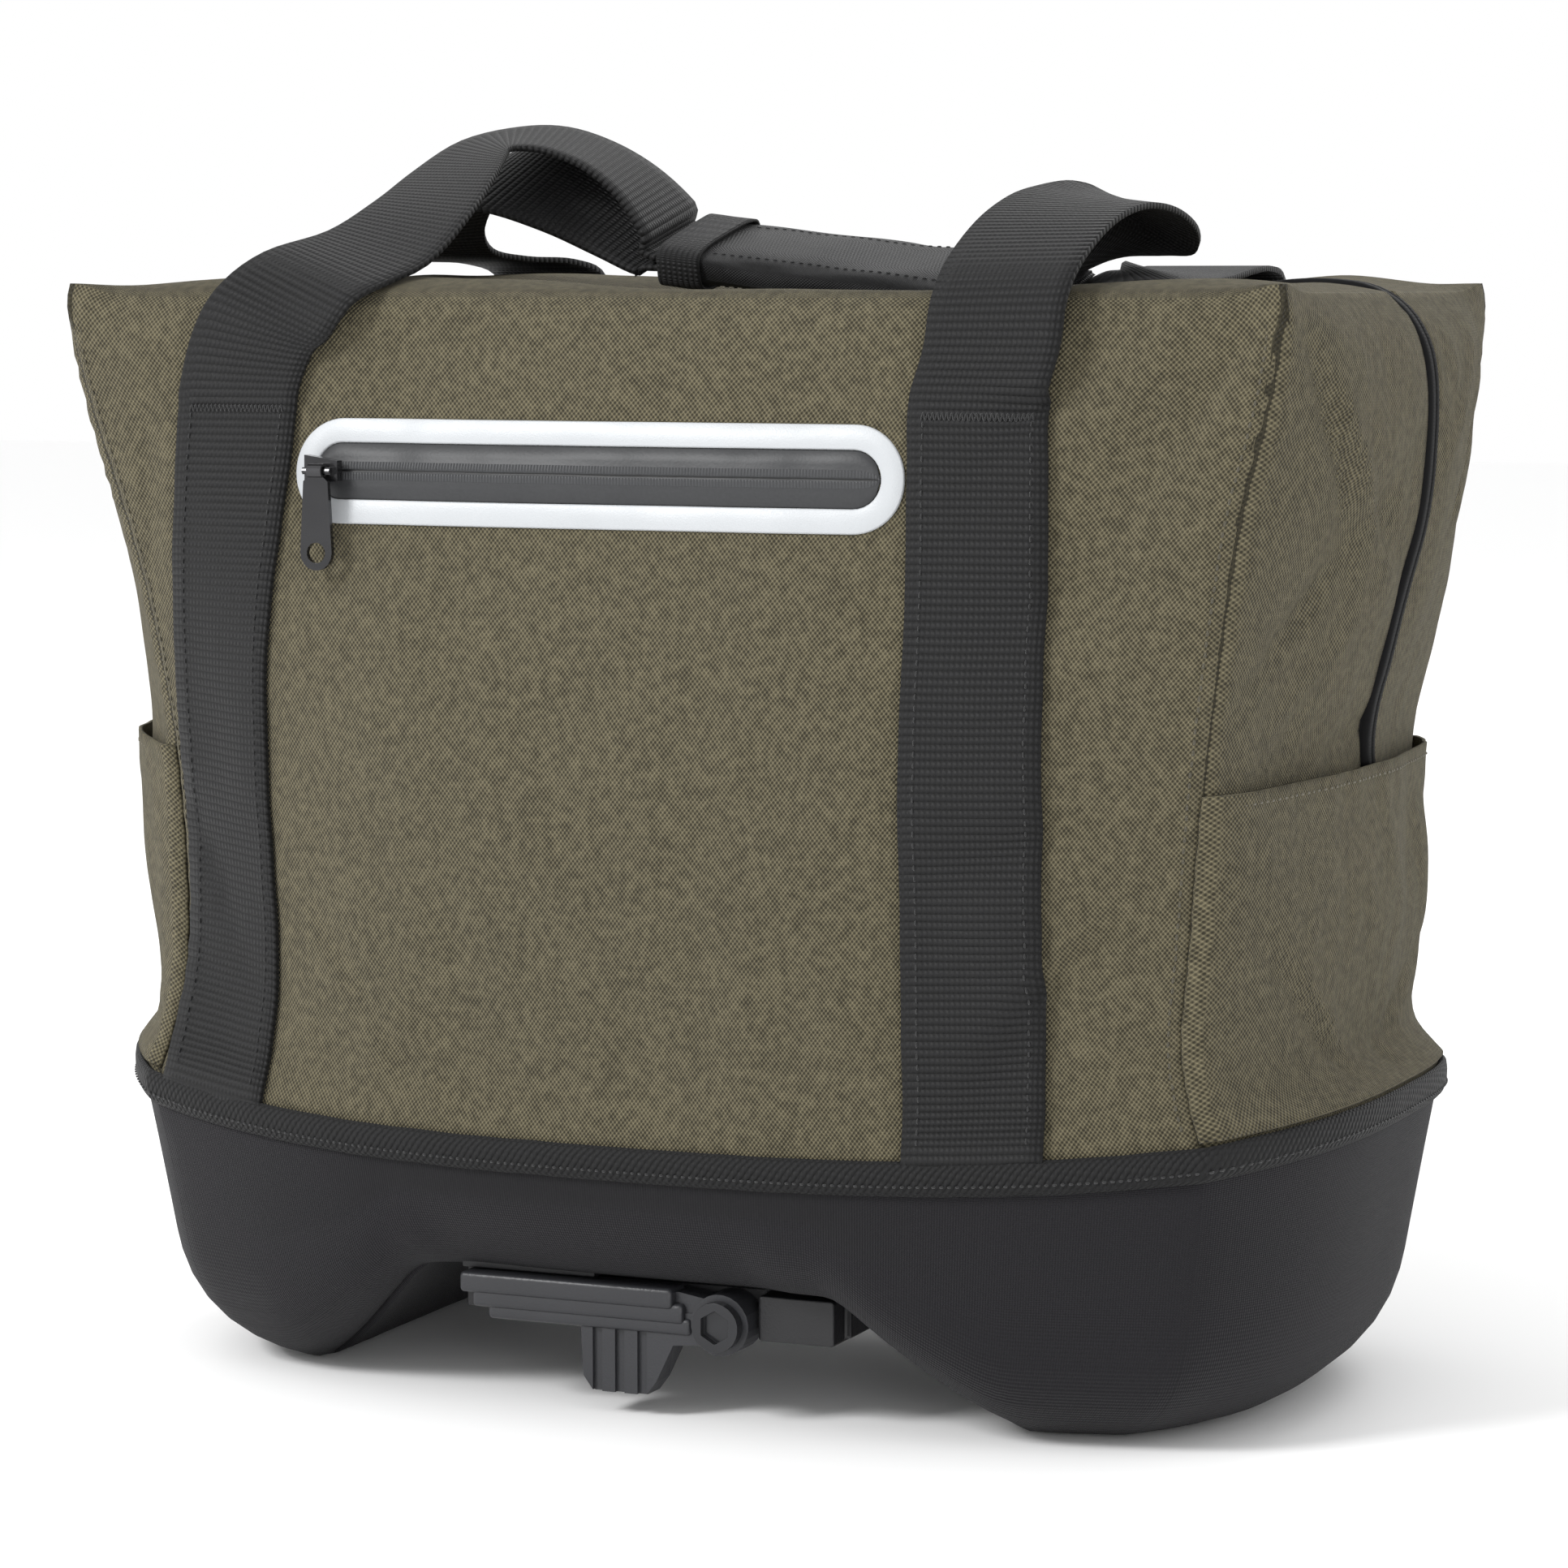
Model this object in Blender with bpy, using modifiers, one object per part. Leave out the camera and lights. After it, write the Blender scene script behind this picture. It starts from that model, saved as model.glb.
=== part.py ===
"""Bicycle trunk bag: a sewn fabric top on a moulded base shell, with a rack adapter under the shell.

Units are metres and +Z is up. The pocket side faces -Y. The origin is on the ground under the bag's middle,
and the bag stands on the two lobes of its base shell.
"""

import math
from collections import namedtuple
from functools import partial

import bmesh
import bpy
from mathutils import Vector

# Driving dimensions of the bag
BAG_LENGTH = 0.368  # the rim along X
BAG_DEPTH = 0.228  # the rim along Y
BASE_HEIGHT = 0.091  # ground to the rim at the bag's two ends
FABRIC_HEIGHT = 0.215  # rim to the four top corners
RIM_SAG = 0.012  # how much lower the rim runs at the middle of the front and back
FABRIC_WALL = 0.0016
SHELL_WALL = 0.0035
GAP = 0.0003  # between pieces that touch
STRAP_SEAT = 0.0007  # between webbing and the curved fabric under it
HEM_GAP = 0.0012  # between the cloth's hem and the shell, under the binding

# Driving dimensions of the base shell
WALL_FLARE_DEG = 9.5
ARCH_EDGE_RADIUS = 0.024  # the lower front and rear edges, at the arch
LOBE_EDGE_RADIUS = 0.038  # and round the lobes
ARCH_HEIGHT = 0.037
ARCH_MIDDLE = -0.010
ARCH_HALF_WIDTH = 0.064
ARCH_FOOT = 0.046  # the sloping stretch on each side of the arch
ARCH_STEEPNESS = 1.25
SCOOP_DEPTH = 0.005
SCOOP_MIDDLE = -0.014
SCOOP_HALF_WIDTH = 0.050
SCOOP_TOP = 0.058

# Driving dimensions of the trims
BINDING_HEIGHT = 0.0095
BINDING_THICKNESS = 0.0018
ZIP_SLOT_HALF = 0.0035
ZIP_TAPE_HALF = 0.010
ZIP_TAPE_THICKNESS = 0.0010
ZIP_SEAT = 0.0006  # between the cloth and the zip tape sewn under it
POCKET_HEIGHT_SHARE = 0.414  # of the fabric's height
POCKET_SLOT_OVERLAP = 0.03  # the zip slot runs on behind the pocket, as a share of the fabric's height
POCKET_THICKNESS = 0.0012
POCKET_SEAM_SHARE = 0.985  # how near the pocket's sides come to the corner seams
TRIM_SIDE_GAP = 0.001  # from each end of the oval to the webbing beside it
TRIM_HEIGHT = 0.0285
TRIM_BAND = 0.0066
TRIM_THICKNESS = 0.0008
TRIM_MIDDLE_RISE = 0.1665  # above the rim's ends

# Driving dimensions of the webbing
WEBBING_WIDTH = 0.037
WEBBING_THICKNESS = 0.0016
STRAP_MIDDLE_X = -0.0115
STRAP_SPACING = 0.219
STITCH_RISE = 0.187  # the top of the sewn stretch, above the rim's ends
ARM_CLEARANCE = 0.0012  # from a free arm's underside to the cloth
GRIP_START_X = -0.030
GRIP_LENGTH = 0.110
GRIP_TILT_DEG = 6.3
GRIP_ROLL_DEG = 14  # the grip's front edge hangs lower
GRIP_MIDDLE_RISE = 0.2208  # above the rim's ends
GRIP_WALL = 0.0015
GRIP_LAYER_GAP = 0.0005  # from each webbing in the grip to the grip's middle plane
GRIP_ROOM = 0.0014  # between the sleeve and the webbing's edges
GRIP_LEAD = 0.002  # how far the webbing lies straight beyond each end of the sleeve
GRIP_BAND_LENGTH = 0.013
GRIP_BAND_THICKNESS = 0.0012

# Driving dimensions of the pocket zip's slider and pull
SLIDER_LENGTH = 0.010
SLIDER_HEIGHT = 0.0085
SLIDER_THICKNESS = 0.0030
SLIDER_SIDE_GAP = 0.0008  # to each side of the slot
MAIN_SLIDER_HEIGHT_SHARE = 0.62  # of the fabric's height
SLIDER_X = -0.0905
CROWN_BAR_RADIUS = 0.0008
CROWN_REACH = 0.0030
CROWN_SPAN = 0.0084
BARREL_WALL = 0.0008
PULL_LENGTH = 0.027
PULL_WIDTH = 0.0096
PULL_NECK_WIDTH = 0.0074
PULL_THICKNESS = 0.0016
PULL_HOLE_RADIUS = 0.0028
PULL_CLEARANCE = 0.0004

# Driving dimensions of the rack adapter
ADAPTER_LENGTH = 0.160
ADAPTER_HALF_WIDTH = 0.058
ADAPTER_PLATE = 0.005
ADAPTER_MIDDLE_X = -0.005
ADAPTER_HEIGHT = 0.0125
ADAPTER_RAIL_WIDTH = 0.010
ADAPTER_LIP = 0.005
ADAPTER_LIP_HEIGHT = 0.003
SIDE_BLOCK_LENGTH = 0.0223
SIDE_BLOCK_DEPTH = 0.0077  # in front of the housing
BLOCK_GAP = 0.0012  # from the side block to the latch's hub
BOSS_X = 0.019
BOSS_Z = 0.0274
BOSS_RADIUS = 0.0085
LEVER_THICKNESS = 0.011
LEVER_ARM_LENGTH = 0.077
LEVER_ARM_HEIGHT = 0.0075
GRIP_TAB_WIDTH = 0.024
GRIP_TAB_BOTTOM = 0.0062
GRIP_TAB_MIDDLE_X = -0.011
FLUTE_WIDTH = 0.0028
BOLT_RADIUS = 0.0030
BOLT_HEAD_RADIUS = 0.0068
BOLT_HEAD_THICKNESS = 0.0032
BOLT_CLEARANCE = 0.00008
HEX_ACROSS_FLATS = 0.008
HEX_DEPTH = 0.0022

# Mesh density
FACE_COLUMNS = (0.0, 0.18, 0.36, 0.52, 0.66, 0.77, 0.86, 0.94, 1.0)
END_COLUMNS = (0.27, 0.52, 0.74, 0.90)
ROWS = (0.0, 0.056, 0.121, 0.233, 0.423, 0.521, 0.628, 0.72, 0.80, 0.87, 0.93, 0.967, 1.0)
EDGE_TURNS_DEG = (22.5, 45.0, 67.5, 90.0)  # rows round the lower edge
SIDES = 24
STRAP_ROWS = 9
ACROSS = (-1.0, -0.5, 0.0, 0.5, 1.0)  # points across the webbing

TRIM_LENGTH = STRAP_SPACING - WEBBING_WIDTH - 2 * TRIM_SIDE_GAP
TRIM_MIDDLE_X = STRAP_MIDDLE_X  # the oval lies between the two straps
HALF_LENGTH = BAG_LENGTH / 2
HALF_DEPTH = BAG_DEPTH / 2
TOP_Z = BASE_HEIGHT + FABRIC_HEIGHT

# The fabric's sections from the rim (height 0) to the top edge (height 1). Heights are shares of
# FABRIC_HEIGHT. seam_x and end_bulge are shares of the half length, seam_y and face_bulge of the half depth:
# where the corner seam stands, and how far the end and the face swell beyond it at their middles.
Section = namedtuple("Section", "height seam_x seam_y end_bulge face_bulge left_pinch left_swell")
SECTIONS = (
    Section(0.000, 0.853, 0.825, 0.147, 0.175, 0.050, 0.015),
    Section(0.056, 0.837, 0.825, 0.102, 0.170, 0.075, 0.035),
    Section(0.121, 0.826, 0.825, 0.117, 0.175, 0.110, 0.055),
    Section(0.233, 0.837, 0.829, 0.117, 0.190, 0.160, 0.080),
    Section(0.423, 0.856, 0.838, 0.071, 0.195, 0.170, 0.090),
    Section(0.521, 0.870, 0.842, 0.082, 0.180, 0.150, 0.060),
    Section(0.628, 0.886, 0.842, 0.106, 0.150, 0.110, 0.030),
    Section(0.744, 0.908, 0.842, 0.117, 0.115, 0.050, 0.012),
    Section(0.847, 0.940, 0.842, 0.092, 0.085, 0.018, 0.008),
    Section(0.921, 0.959, 0.846, 0.065, 0.066, 0.004, 0.004),
    Section(0.967, 0.962, 0.842, 0.040, 0.050, 0.000, 0.000),
    Section(1.000, 0.954, 0.829, 0.008, 0.022, 0.000, 0.000),
)
FACE_ROUND = 2.4
PINCH_ROUND = 4.0
END_ROUND = 2.8

# The crest of the lid along X: place is a share of the half length, rise a share of FABRIC_HEIGHT.
Crest = namedtuple("Crest", "place rise")
CREST = (
    Crest(-1.00, 0.010),
    Crest(-0.68, 0.036),
    Crest(-0.45, 0.036),
    Crest(-0.20, 0.026),
    Crest(0.03, 0.015),
    Crest(0.50, 0.013),
    Crest(0.66, 0.022),
    Crest(0.80, 0.028),
    Crest(1.00, 0.018),
)

# Soft dents and swells of the walls. across and up are shares of the face's half width and of the fabric's
# height, half_length and half_width shares of FABRIC_HEIGHT, and depth of the half depth, inwards if negative.
Fold = namedtuple("Fold", "face across up slope_deg half_length half_width depth")
FOLDS = (
    Fold("front", -0.30, 0.93, 0, 0.32, 0.10, -0.030),
    Fold("front", 0.86, 0.86, 62, 0.26, 0.07, -0.030),
    Fold("front", 0.80, 0.16, 35, 0.20, 0.06, -0.018),
    Fold("front", -0.88, 0.22, 80, 0.30, 0.16, -0.040),
    Fold("right", -0.45, 0.70, 25, 0.24, 0.07, -0.028),
    Fold("right", 0.35, 0.25, 60, 0.20, 0.07, -0.018),
    Fold("left", 0.20, 0.60, -40, 0.26, 0.08, -0.026),
    Fold("left", -0.40, 0.20, 30, 0.20, 0.07, -0.018),
    Fold("back", 0.20, 0.60, 55, 0.32, 0.09, -0.022),
)

# The free arms of the two handles, from the sewn stretch to the grip. along runs from the strap's X (0) to the
# grip's end (1), toward from the wall (0) to the bag's middle plane (1), and rise is a share of HANDLE_RISE
# above the top corners. across_x, across_y and across_z give the direction of the webbing's width.
HANDLE_RISE = 0.040

# How far the front handle's left foot leans sideways, by shares of the sewn stretch from its foot up
Lean = namedtuple("Lean", "up shift")
LEFT_LEAN = (
    Lean(0.00, -0.0112),
    Lean(0.09, -0.0095),
    Lean(0.20, -0.0072),
    Lean(0.33, -0.0078),
    Lean(0.50, -0.0086),
    Lean(0.68, -0.0066),
    Lean(0.83, -0.0024),
    Lean(0.92, -0.0004),
    Lean(1.00, 0.0010),
)

Arm = namedtuple("Arm", "along toward rise across_x across_y across_z")
FRONT_LEFT_ARM = (
    Arm(0.06, -0.01, -0.35, 0.98, 0.00, -0.16),
    Arm(0.13, -0.01, -0.15, 0.92, -0.03, -0.36),
    Arm(0.24, 0.02, 0.09, 0.90, -0.25, -0.32),
    Arm(0.35, 0.22, 0.28, 0.93, -0.22, -0.22),
    Arm(0.39, 0.43, 0.56, 0.95, -0.28, -0.08),
    Arm(0.38, 0.64, 0.80, 0.90, -0.40, -0.02),
    Arm(0.38, 0.83, 0.99, 0.72, -0.68, -0.12),
    Arm(0.43, 0.95, 1.07, 0.38, -0.91, -0.18),
    Arm(0.54, 1.00, 1.06, 0.25, -0.95, -0.20),
    Arm(0.68, 1.01, 0.95, 0.18, -0.96, -0.20),
    Arm(0.81, 1.01, 0.76, 0.10, -0.97, -0.22),
    Arm(0.92, 1.00, 0.51, 0.00, -0.97, -0.24),
)
REAR_LEFT_ARM = (
    Arm(0.00, -0.01, -0.35, 1.00, 0.00, 0.00),
    Arm(0.00, 0.03, 0.08, 1.00, 0.00, 0.00),
    Arm(-0.04, 0.17, 0.20, 1.00, 0.00, 0.00),
    Arm(-0.11, 0.36, 0.22, 1.00, 0.00, 0.00),
    Arm(-0.15, 0.54, 0.27, 0.99, -0.08, 0.02),
    Arm(-0.10, 0.70, 0.42, 0.94, -0.25, 0.10),
    Arm(0.05, 0.85, 0.62, 0.78, -0.50, 0.26),
    Arm(0.22, 0.95, 0.80, 0.50, -0.68, 0.44),
    Arm(0.41, 1.00, 0.80, 0.28, -0.80, 0.50),
    Arm(0.61, 1.01, 0.65, 0.16, -0.84, 0.48),
    Arm(0.78, 1.01, 0.44, 0.08, -0.89, 0.40),
    Arm(0.91, 1.00, 0.24, 0.00, -0.96, 0.28),
)
FRONT_RIGHT_ARM = (
    Arm(-0.22, -0.01, -0.35, 1.00, 0.00, 0.00),
    Arm(-0.30, 0.00, -0.06, 1.00, 0.00, 0.02),
    Arm(-0.38, 0.07, 0.18, 1.00, 0.03, 0.02),
    Arm(-0.46, 0.25, 0.43, 0.99, 0.08, 0.00),
    Arm(-0.54, 0.45, 0.57, 0.97, 0.14, -0.06),
    Arm(-0.62, 0.64, 0.60, 0.92, 0.28, -0.16),
    Arm(-0.68, 0.82, 0.56, 0.78, 0.48, -0.32),
    Arm(-0.62, 0.96, 0.45, 0.48, 0.74, -0.40),
    Arm(-0.25, 1.03, 0.33, 0.20, 0.95, -0.18),
    Arm(0.30, 1.02, 0.19, 0.05, 0.99, 0.10),
    Arm(0.75, 1.00, 0.06, 0.00, 0.97, 0.22),
)
REAR_RIGHT_ARM = (
    Arm(-0.03, -0.01, -0.35, 1.00, 0.00, 0.00),
    Arm(-0.03, 0.03, 0.06, 1.00, 0.00, 0.00),
    Arm(-0.06, 0.17, 0.14, 1.00, 0.00, 0.00),
    Arm(-0.12, 0.36, 0.12, 1.00, 0.05, 0.00),
    Arm(-0.22, 0.54, 0.10, 0.97, 0.18, -0.05),
    Arm(-0.34, 0.72, 0.10, 0.88, 0.42, -0.12),
    Arm(-0.40, 0.88, 0.10, 0.68, 0.70, -0.16),
    Arm(-0.15, 0.99, 0.07, 0.34, 0.93, -0.10),
    Arm(0.30, 1.02, 0.02, 0.10, 0.99, -0.18),
    Arm(0.72, 1.00, -0.06, 0.00, 0.97, -0.24),
)

# Dents in the lid: middle and half sizes as shares of the half length and half depth, depth of FABRIC_HEIGHT.
LidDent = namedtuple("LidDent", "x y half_x half_y depth")
LID_DENTS = (
    LidDent(0.20, 0.0, 0.50, 0.50, 0.085),
    LidDent(-0.50, 0.0, 0.40, 0.60, 0.030),
)

Material = namedtuple("Material", "colour roughness metallic")
MATERIALS = {
    "olive_fabric": Material((106, 99, 80), 0.85, 0.0),
    "webbing": Material((44, 44, 46), 0.75, 0.0),
    "binding": Material((46, 46, 48), 0.80, 0.0),
    "base_fabric": Material((50, 49, 54), 0.80, 0.0),
    "reflective": Material((205, 210, 212), 0.35, 0.0),
    "zip_tape": Material((62, 62, 64), 0.55, 0.0),
    "gunmetal": Material((58, 58, 60), 0.30, 0.8),
    "adapter_plastic": Material((52, 53, 57), 0.50, 0.0),
    "bolt_steel": Material((50, 51, 55), 0.40, 0.5),
}


def clear_scene():
    for leftover in list(bpy.data.objects):
        bpy.data.objects.remove(leftover, do_unlink=True)


def new_collection(name):
    collection = bpy.data.collections.new(name)
    bpy.context.scene.collection.children.link(collection)
    return collection


def linear(channel):
    share = channel / 255
    return share / 12.92 if share <= 0.04045 else ((share + 0.055) / 1.055) ** 2.4


def make_material(name):
    look = MATERIALS[name]
    material = bpy.data.materials.get(name) or bpy.data.materials.new(name)
    material.use_nodes = True
    shader = material.node_tree.nodes["Principled BSDF"]
    shader.inputs["Base Color"].default_value = (*[linear(channel) for channel in look.colour], 1.0)
    shader.inputs["Roughness"].default_value = look.roughness
    shader.inputs["Metallic"].default_value = look.metallic
    return material


def smooth_between(low, low_value, high, high_value, place):
    """Eases from one value to the next without overshoot."""
    share = min(max((place - low) / (high - low), 0.0), 1.0)
    share = share * share * (3 - 2 * share)
    return low_value + (high_value - low_value) * share


def read_table(table, key, column, place):
    """Reads a column of a table at a place between two of its rows, as a smooth curve through the rows."""
    keys = [getattr(row, key) for row in table]
    values = [getattr(row, column) for row in table]
    place = min(max(place, keys[0]), keys[-1])
    index = max(i for i in range(len(keys) - 1) if keys[i] <= place)
    slopes = []
    for i in (index, index + 1):
        before, after = max(i - 1, 0), min(i + 1, len(keys) - 1)
        slopes.append((values[after] - values[before]) / (keys[after] - keys[before]))
    span = keys[index + 1] - keys[index]
    t = (place - keys[index]) / span
    start, end = values[index], values[index + 1]
    return (
        start * (2 * t**3 - 3 * t**2 + 1)
        + slopes[0] * span * (t**3 - 2 * t**2 + t)
        + end * (3 * t**2 - 2 * t**3)
        + slopes[1] * span * (t**3 - t**2)
    )


def rim_z(x):
    """The rim's height: it runs lower at the middle of the front and back."""
    return BASE_HEIGHT - RIM_SAG * (1 - min(abs(x) / HALF_LENGTH, 1.0) ** 3)


def fold_depth(face, across, height):
    """How far the folds move the wall, outwards if positive."""
    half_width = HALF_DEPTH if face in ("left", "right") else HALF_LENGTH
    moved = 0.0
    for fold in FOLDS:
        if fold.face != face:
            continue
        sideways = (across - fold.across) * half_width / FABRIC_HEIGHT
        upwards = height - fold.up
        slope = math.radians(fold.slope_deg)
        lengthwise = sideways * math.cos(slope) + upwards * math.sin(slope)
        crosswise = -sideways * math.sin(slope) + upwards * math.cos(slope)
        moved += fold.depth * HALF_DEPTH * math.exp(
            -((lengthwise / fold.half_length) ** 2) - (crosswise / fold.half_width) ** 2
        )
    # The corner seams, the rim and the top edge hold the fabric in place.
    held = (1 - abs(across) ** 6) * smooth_between(0.0, 0.0, 0.06, 1.0, height)
    return moved * held * smooth_between(0.93, 1.0, 1.0, 0.0, height)


def wall_point(face, across, height):
    """A point of the fabric's outside. across runs from -1 to 1 from seam to seam, towards +X or +Y."""
    seam_x = read_table(SECTIONS, "height", "seam_x", height) * HALF_LENGTH
    seam_y = read_table(SECTIONS, "height", "seam_y", height) * HALF_DEPTH
    pinch = read_table(SECTIONS, "height", "left_pinch", height) * HALF_DEPTH
    moved = fold_depth(face, across, height)
    if face in ("front", "back"):
        bulge = read_table(SECTIONS, "height", "face_bulge", height) * HALF_DEPTH
        x = seam_x * across
        y = seam_y + bulge * (1 - abs(across) ** FACE_ROUND) + moved
        y = pinch * max(-across, 0.0) ** PINCH_ROUND - y if face == "front" else y
    else:
        bulge = read_table(SECTIONS, "height", "end_bulge", height) * HALF_LENGTH
        if face == "left":
            bulge += read_table(SECTIONS, "height", "left_swell", height) * HALF_LENGTH
        x = seam_x + bulge * (1 - abs(across) ** END_ROUND) + moved
        y = seam_y * across
        if face == "left":
            x = -x
            y += pinch * max(-across, 0.0)
    return Vector((x, y, rim_z(x) + height * (TOP_Z - rim_z(x))))


def lid_point(along, across):
    """A point of the lid's outside: along and across run from -1 to 1 over its length and depth."""
    edge_x = wall_point("right", across, 1.0).x
    edge_y = wall_point("back", along, 1.0).y
    x, y = along * edge_x, across * edge_y
    rise = read_table(CREST, "place", "rise", x / HALF_LENGTH) * FABRIC_HEIGHT
    dent = 0.0
    for each in LID_DENTS:
        away = ((x / HALF_LENGTH - each.x) / each.half_x) ** 2 + ((y / HALF_DEPTH - each.y) / each.half_y) ** 2
        dent += each.depth * FABRIC_HEIGHT * math.exp(-away)
    inside = (1 - abs(along) ** 14) * (1 - abs(across) ** 9)
    return Vector((x, y, TOP_Z + (rise - dent) * inside))


def front_point(x, z, face="front"):
    """The point of the front or back wall at this X and Z."""
    height = (z - rim_z(x)) / (TOP_Z - rim_z(x))
    seam_x = read_table(SECTIONS, "height", "seam_x", height) * HALF_LENGTH
    return wall_point(face, x / seam_x, height)


def front_normal(x, z, face="front"):
    step = 0.002
    sideways = front_point(x + step, z, face) - front_point(x - step, z, face)
    upwards = front_point(x, z + step, face) - front_point(x, z - step, face)
    normal = sideways.cross(upwards).normalized()
    return normal if face == "front" else -normal


def on_front(x, z, lift, face="front"):
    return front_point(x, z, face) + front_normal(x, z, face) * lift


def mirrored(values):
    """0, a, b, 1 becomes -1, -b, -a, 0, a, b, 1."""
    return [-value for value in reversed(values) if value] + list(values)


def end_columns():
    """The columns of an end face between its two seams, with the zip slot's two sides among them."""
    slot = ZIP_SLOT_HALF / (SECTIONS[-1].seam_y * HALF_DEPTH)
    positive = [slot, *END_COLUMNS, 1.0]
    return [-value for value in reversed(positive)] + positive


def ring_columns(face_values):
    """(face, across) of each column round the bag, anticlockwise from the front left seam."""
    end_values = end_columns()
    columns = [("front", value) for value in face_values[:-1]]
    columns += [("right", value) for value in end_values[:-1]]
    columns += [("back", value) for value in reversed(face_values[1:])]
    columns += [("left", value) for value in reversed(end_values[1:])]
    return columns


def cloth_heights():
    """The rows of the cloth from its hem to the top edge, with the foot of the zip slot among them."""
    foot = slot_foot()
    rows = [height for height in ROWS if abs(height - foot) > 0.03]
    return sorted([-BINDING_HEIGHT / 2 / FABRIC_HEIGHT, *rows, foot])


def slot_foot():
    """Where the zip slot starts, behind the pocket's top edge, as a share of the cloth's height."""
    return POCKET_HEIGHT_SHARE - POCKET_SLOT_OVERLAP


def add_object(name, mesh, collection, material_name):
    obj = bpy.data.objects.new(name, mesh)
    collection.objects.link(obj)
    mesh.materials.append(make_material(material_name))
    mesh.shade_smooth()
    mesh.set_sharp_from_angle(angle=math.radians(35))
    return obj


def mesh_from_grid(name, grid, closed_across=False):
    """A mesh of quads over rows of points."""
    bm = bmesh.new()
    rows = [[bm.verts.new(point) for point in row] for row in grid]
    for i in range(len(rows) - 1):
        count = len(rows[i])
        for j in range(count if closed_across else count - 1):
            k = (j + 1) % count
            bm.faces.new((rows[i][j], rows[i][k], rows[i + 1][k], rows[i + 1][j]))
    mesh = bpy.data.meshes.new(name)
    bm.normal_update()
    bm.to_mesh(mesh)
    bm.free()
    return mesh


def solidify(obj, thickness, offset):
    modifier = obj.modifiers.new("Wall", "SOLIDIFY")
    modifier.thickness = thickness
    modifier.offset = offset
    modifier.use_even_offset = True
    modifier.use_rim = True
    return modifier


def face_outwards(mesh, middle):
    """Turns the faces of an open sheet so that on the whole they look away from a point."""
    total = sum(face.area * face.normal.dot(face.center - middle) for face in mesh.polygons)
    if total < 0:
        mesh.flip_normals()


def sheet(name, grid, lift, thickness, collection, material, closed_across=False, outwards=True):
    """A sheet with a wall thickness over rows of points of the bag's outside, lifted along its normals."""
    mesh = mesh_from_grid(name, grid, closed_across)
    face_outwards(mesh, Vector((0, 0, (BASE_HEIGHT + TOP_Z) / 2)))
    normals = [vertex.normal.copy() for vertex in mesh.vertices]
    for vertex, normal in zip(mesh.vertices, normals):
        vertex.co += normal * lift
    obj = add_object(name, mesh, collection, material)
    solidify(obj, thickness, 1.0 if outwards else -1.0)
    return obj


def prism(name, outline, low_y, high_y, collection, material):
    """A solid with a straight-sided outline in X and Z, between two values of Y."""
    bm = bmesh.new()
    near = [bm.verts.new((x, low_y, z)) for x, z in outline]
    far = [bm.verts.new((x, high_y, z)) for x, z in outline]
    bm.faces.new(near)
    bm.faces.new(reversed(far))
    for i in range(len(outline)):
        k = (i + 1) % len(outline)
        bm.faces.new((near[k], near[i], far[i], far[k]))
    bmesh.ops.recalc_face_normals(bm, faces=bm.faces)
    mesh = bpy.data.meshes.new(name)
    bm.to_mesh(mesh)
    bm.free()
    return add_object(name, mesh, collection, material)


def block(name, low, high, collection, material):
    outline = [(low[0], low[2]), (high[0], low[2]), (high[0], high[2]), (low[0], high[2])]
    return prism(name, outline, low[1], high[1], collection, material)


def cylinder_along_y(name, x, z, radius, low_y, high_y, collection, material, sides=SIDES):
    outline = [
        (
            x + radius * math.cos(2 * math.pi * (i + 0.5) / sides),
            z + radius * math.sin(2 * math.pi * (i + 0.5) / sides),
        )
        for i in range(sides)
    ]
    return prism(name, outline, low_y, high_y, collection, material)


def make_helper(obj, cutters):
    for collection in list(obj.users_collection):
        collection.objects.unlink(obj)
    cutters.objects.link(obj)
    obj.hide_render = True
    obj.display_type = "WIRE"
    return obj


def boolean(obj, other, operation, cutters):
    modifier = obj.modifiers.new(operation.title(), "BOOLEAN")
    modifier.operation = operation
    modifier.object = make_helper(other, cutters)
    modifier.solver = "EXACT"


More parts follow.
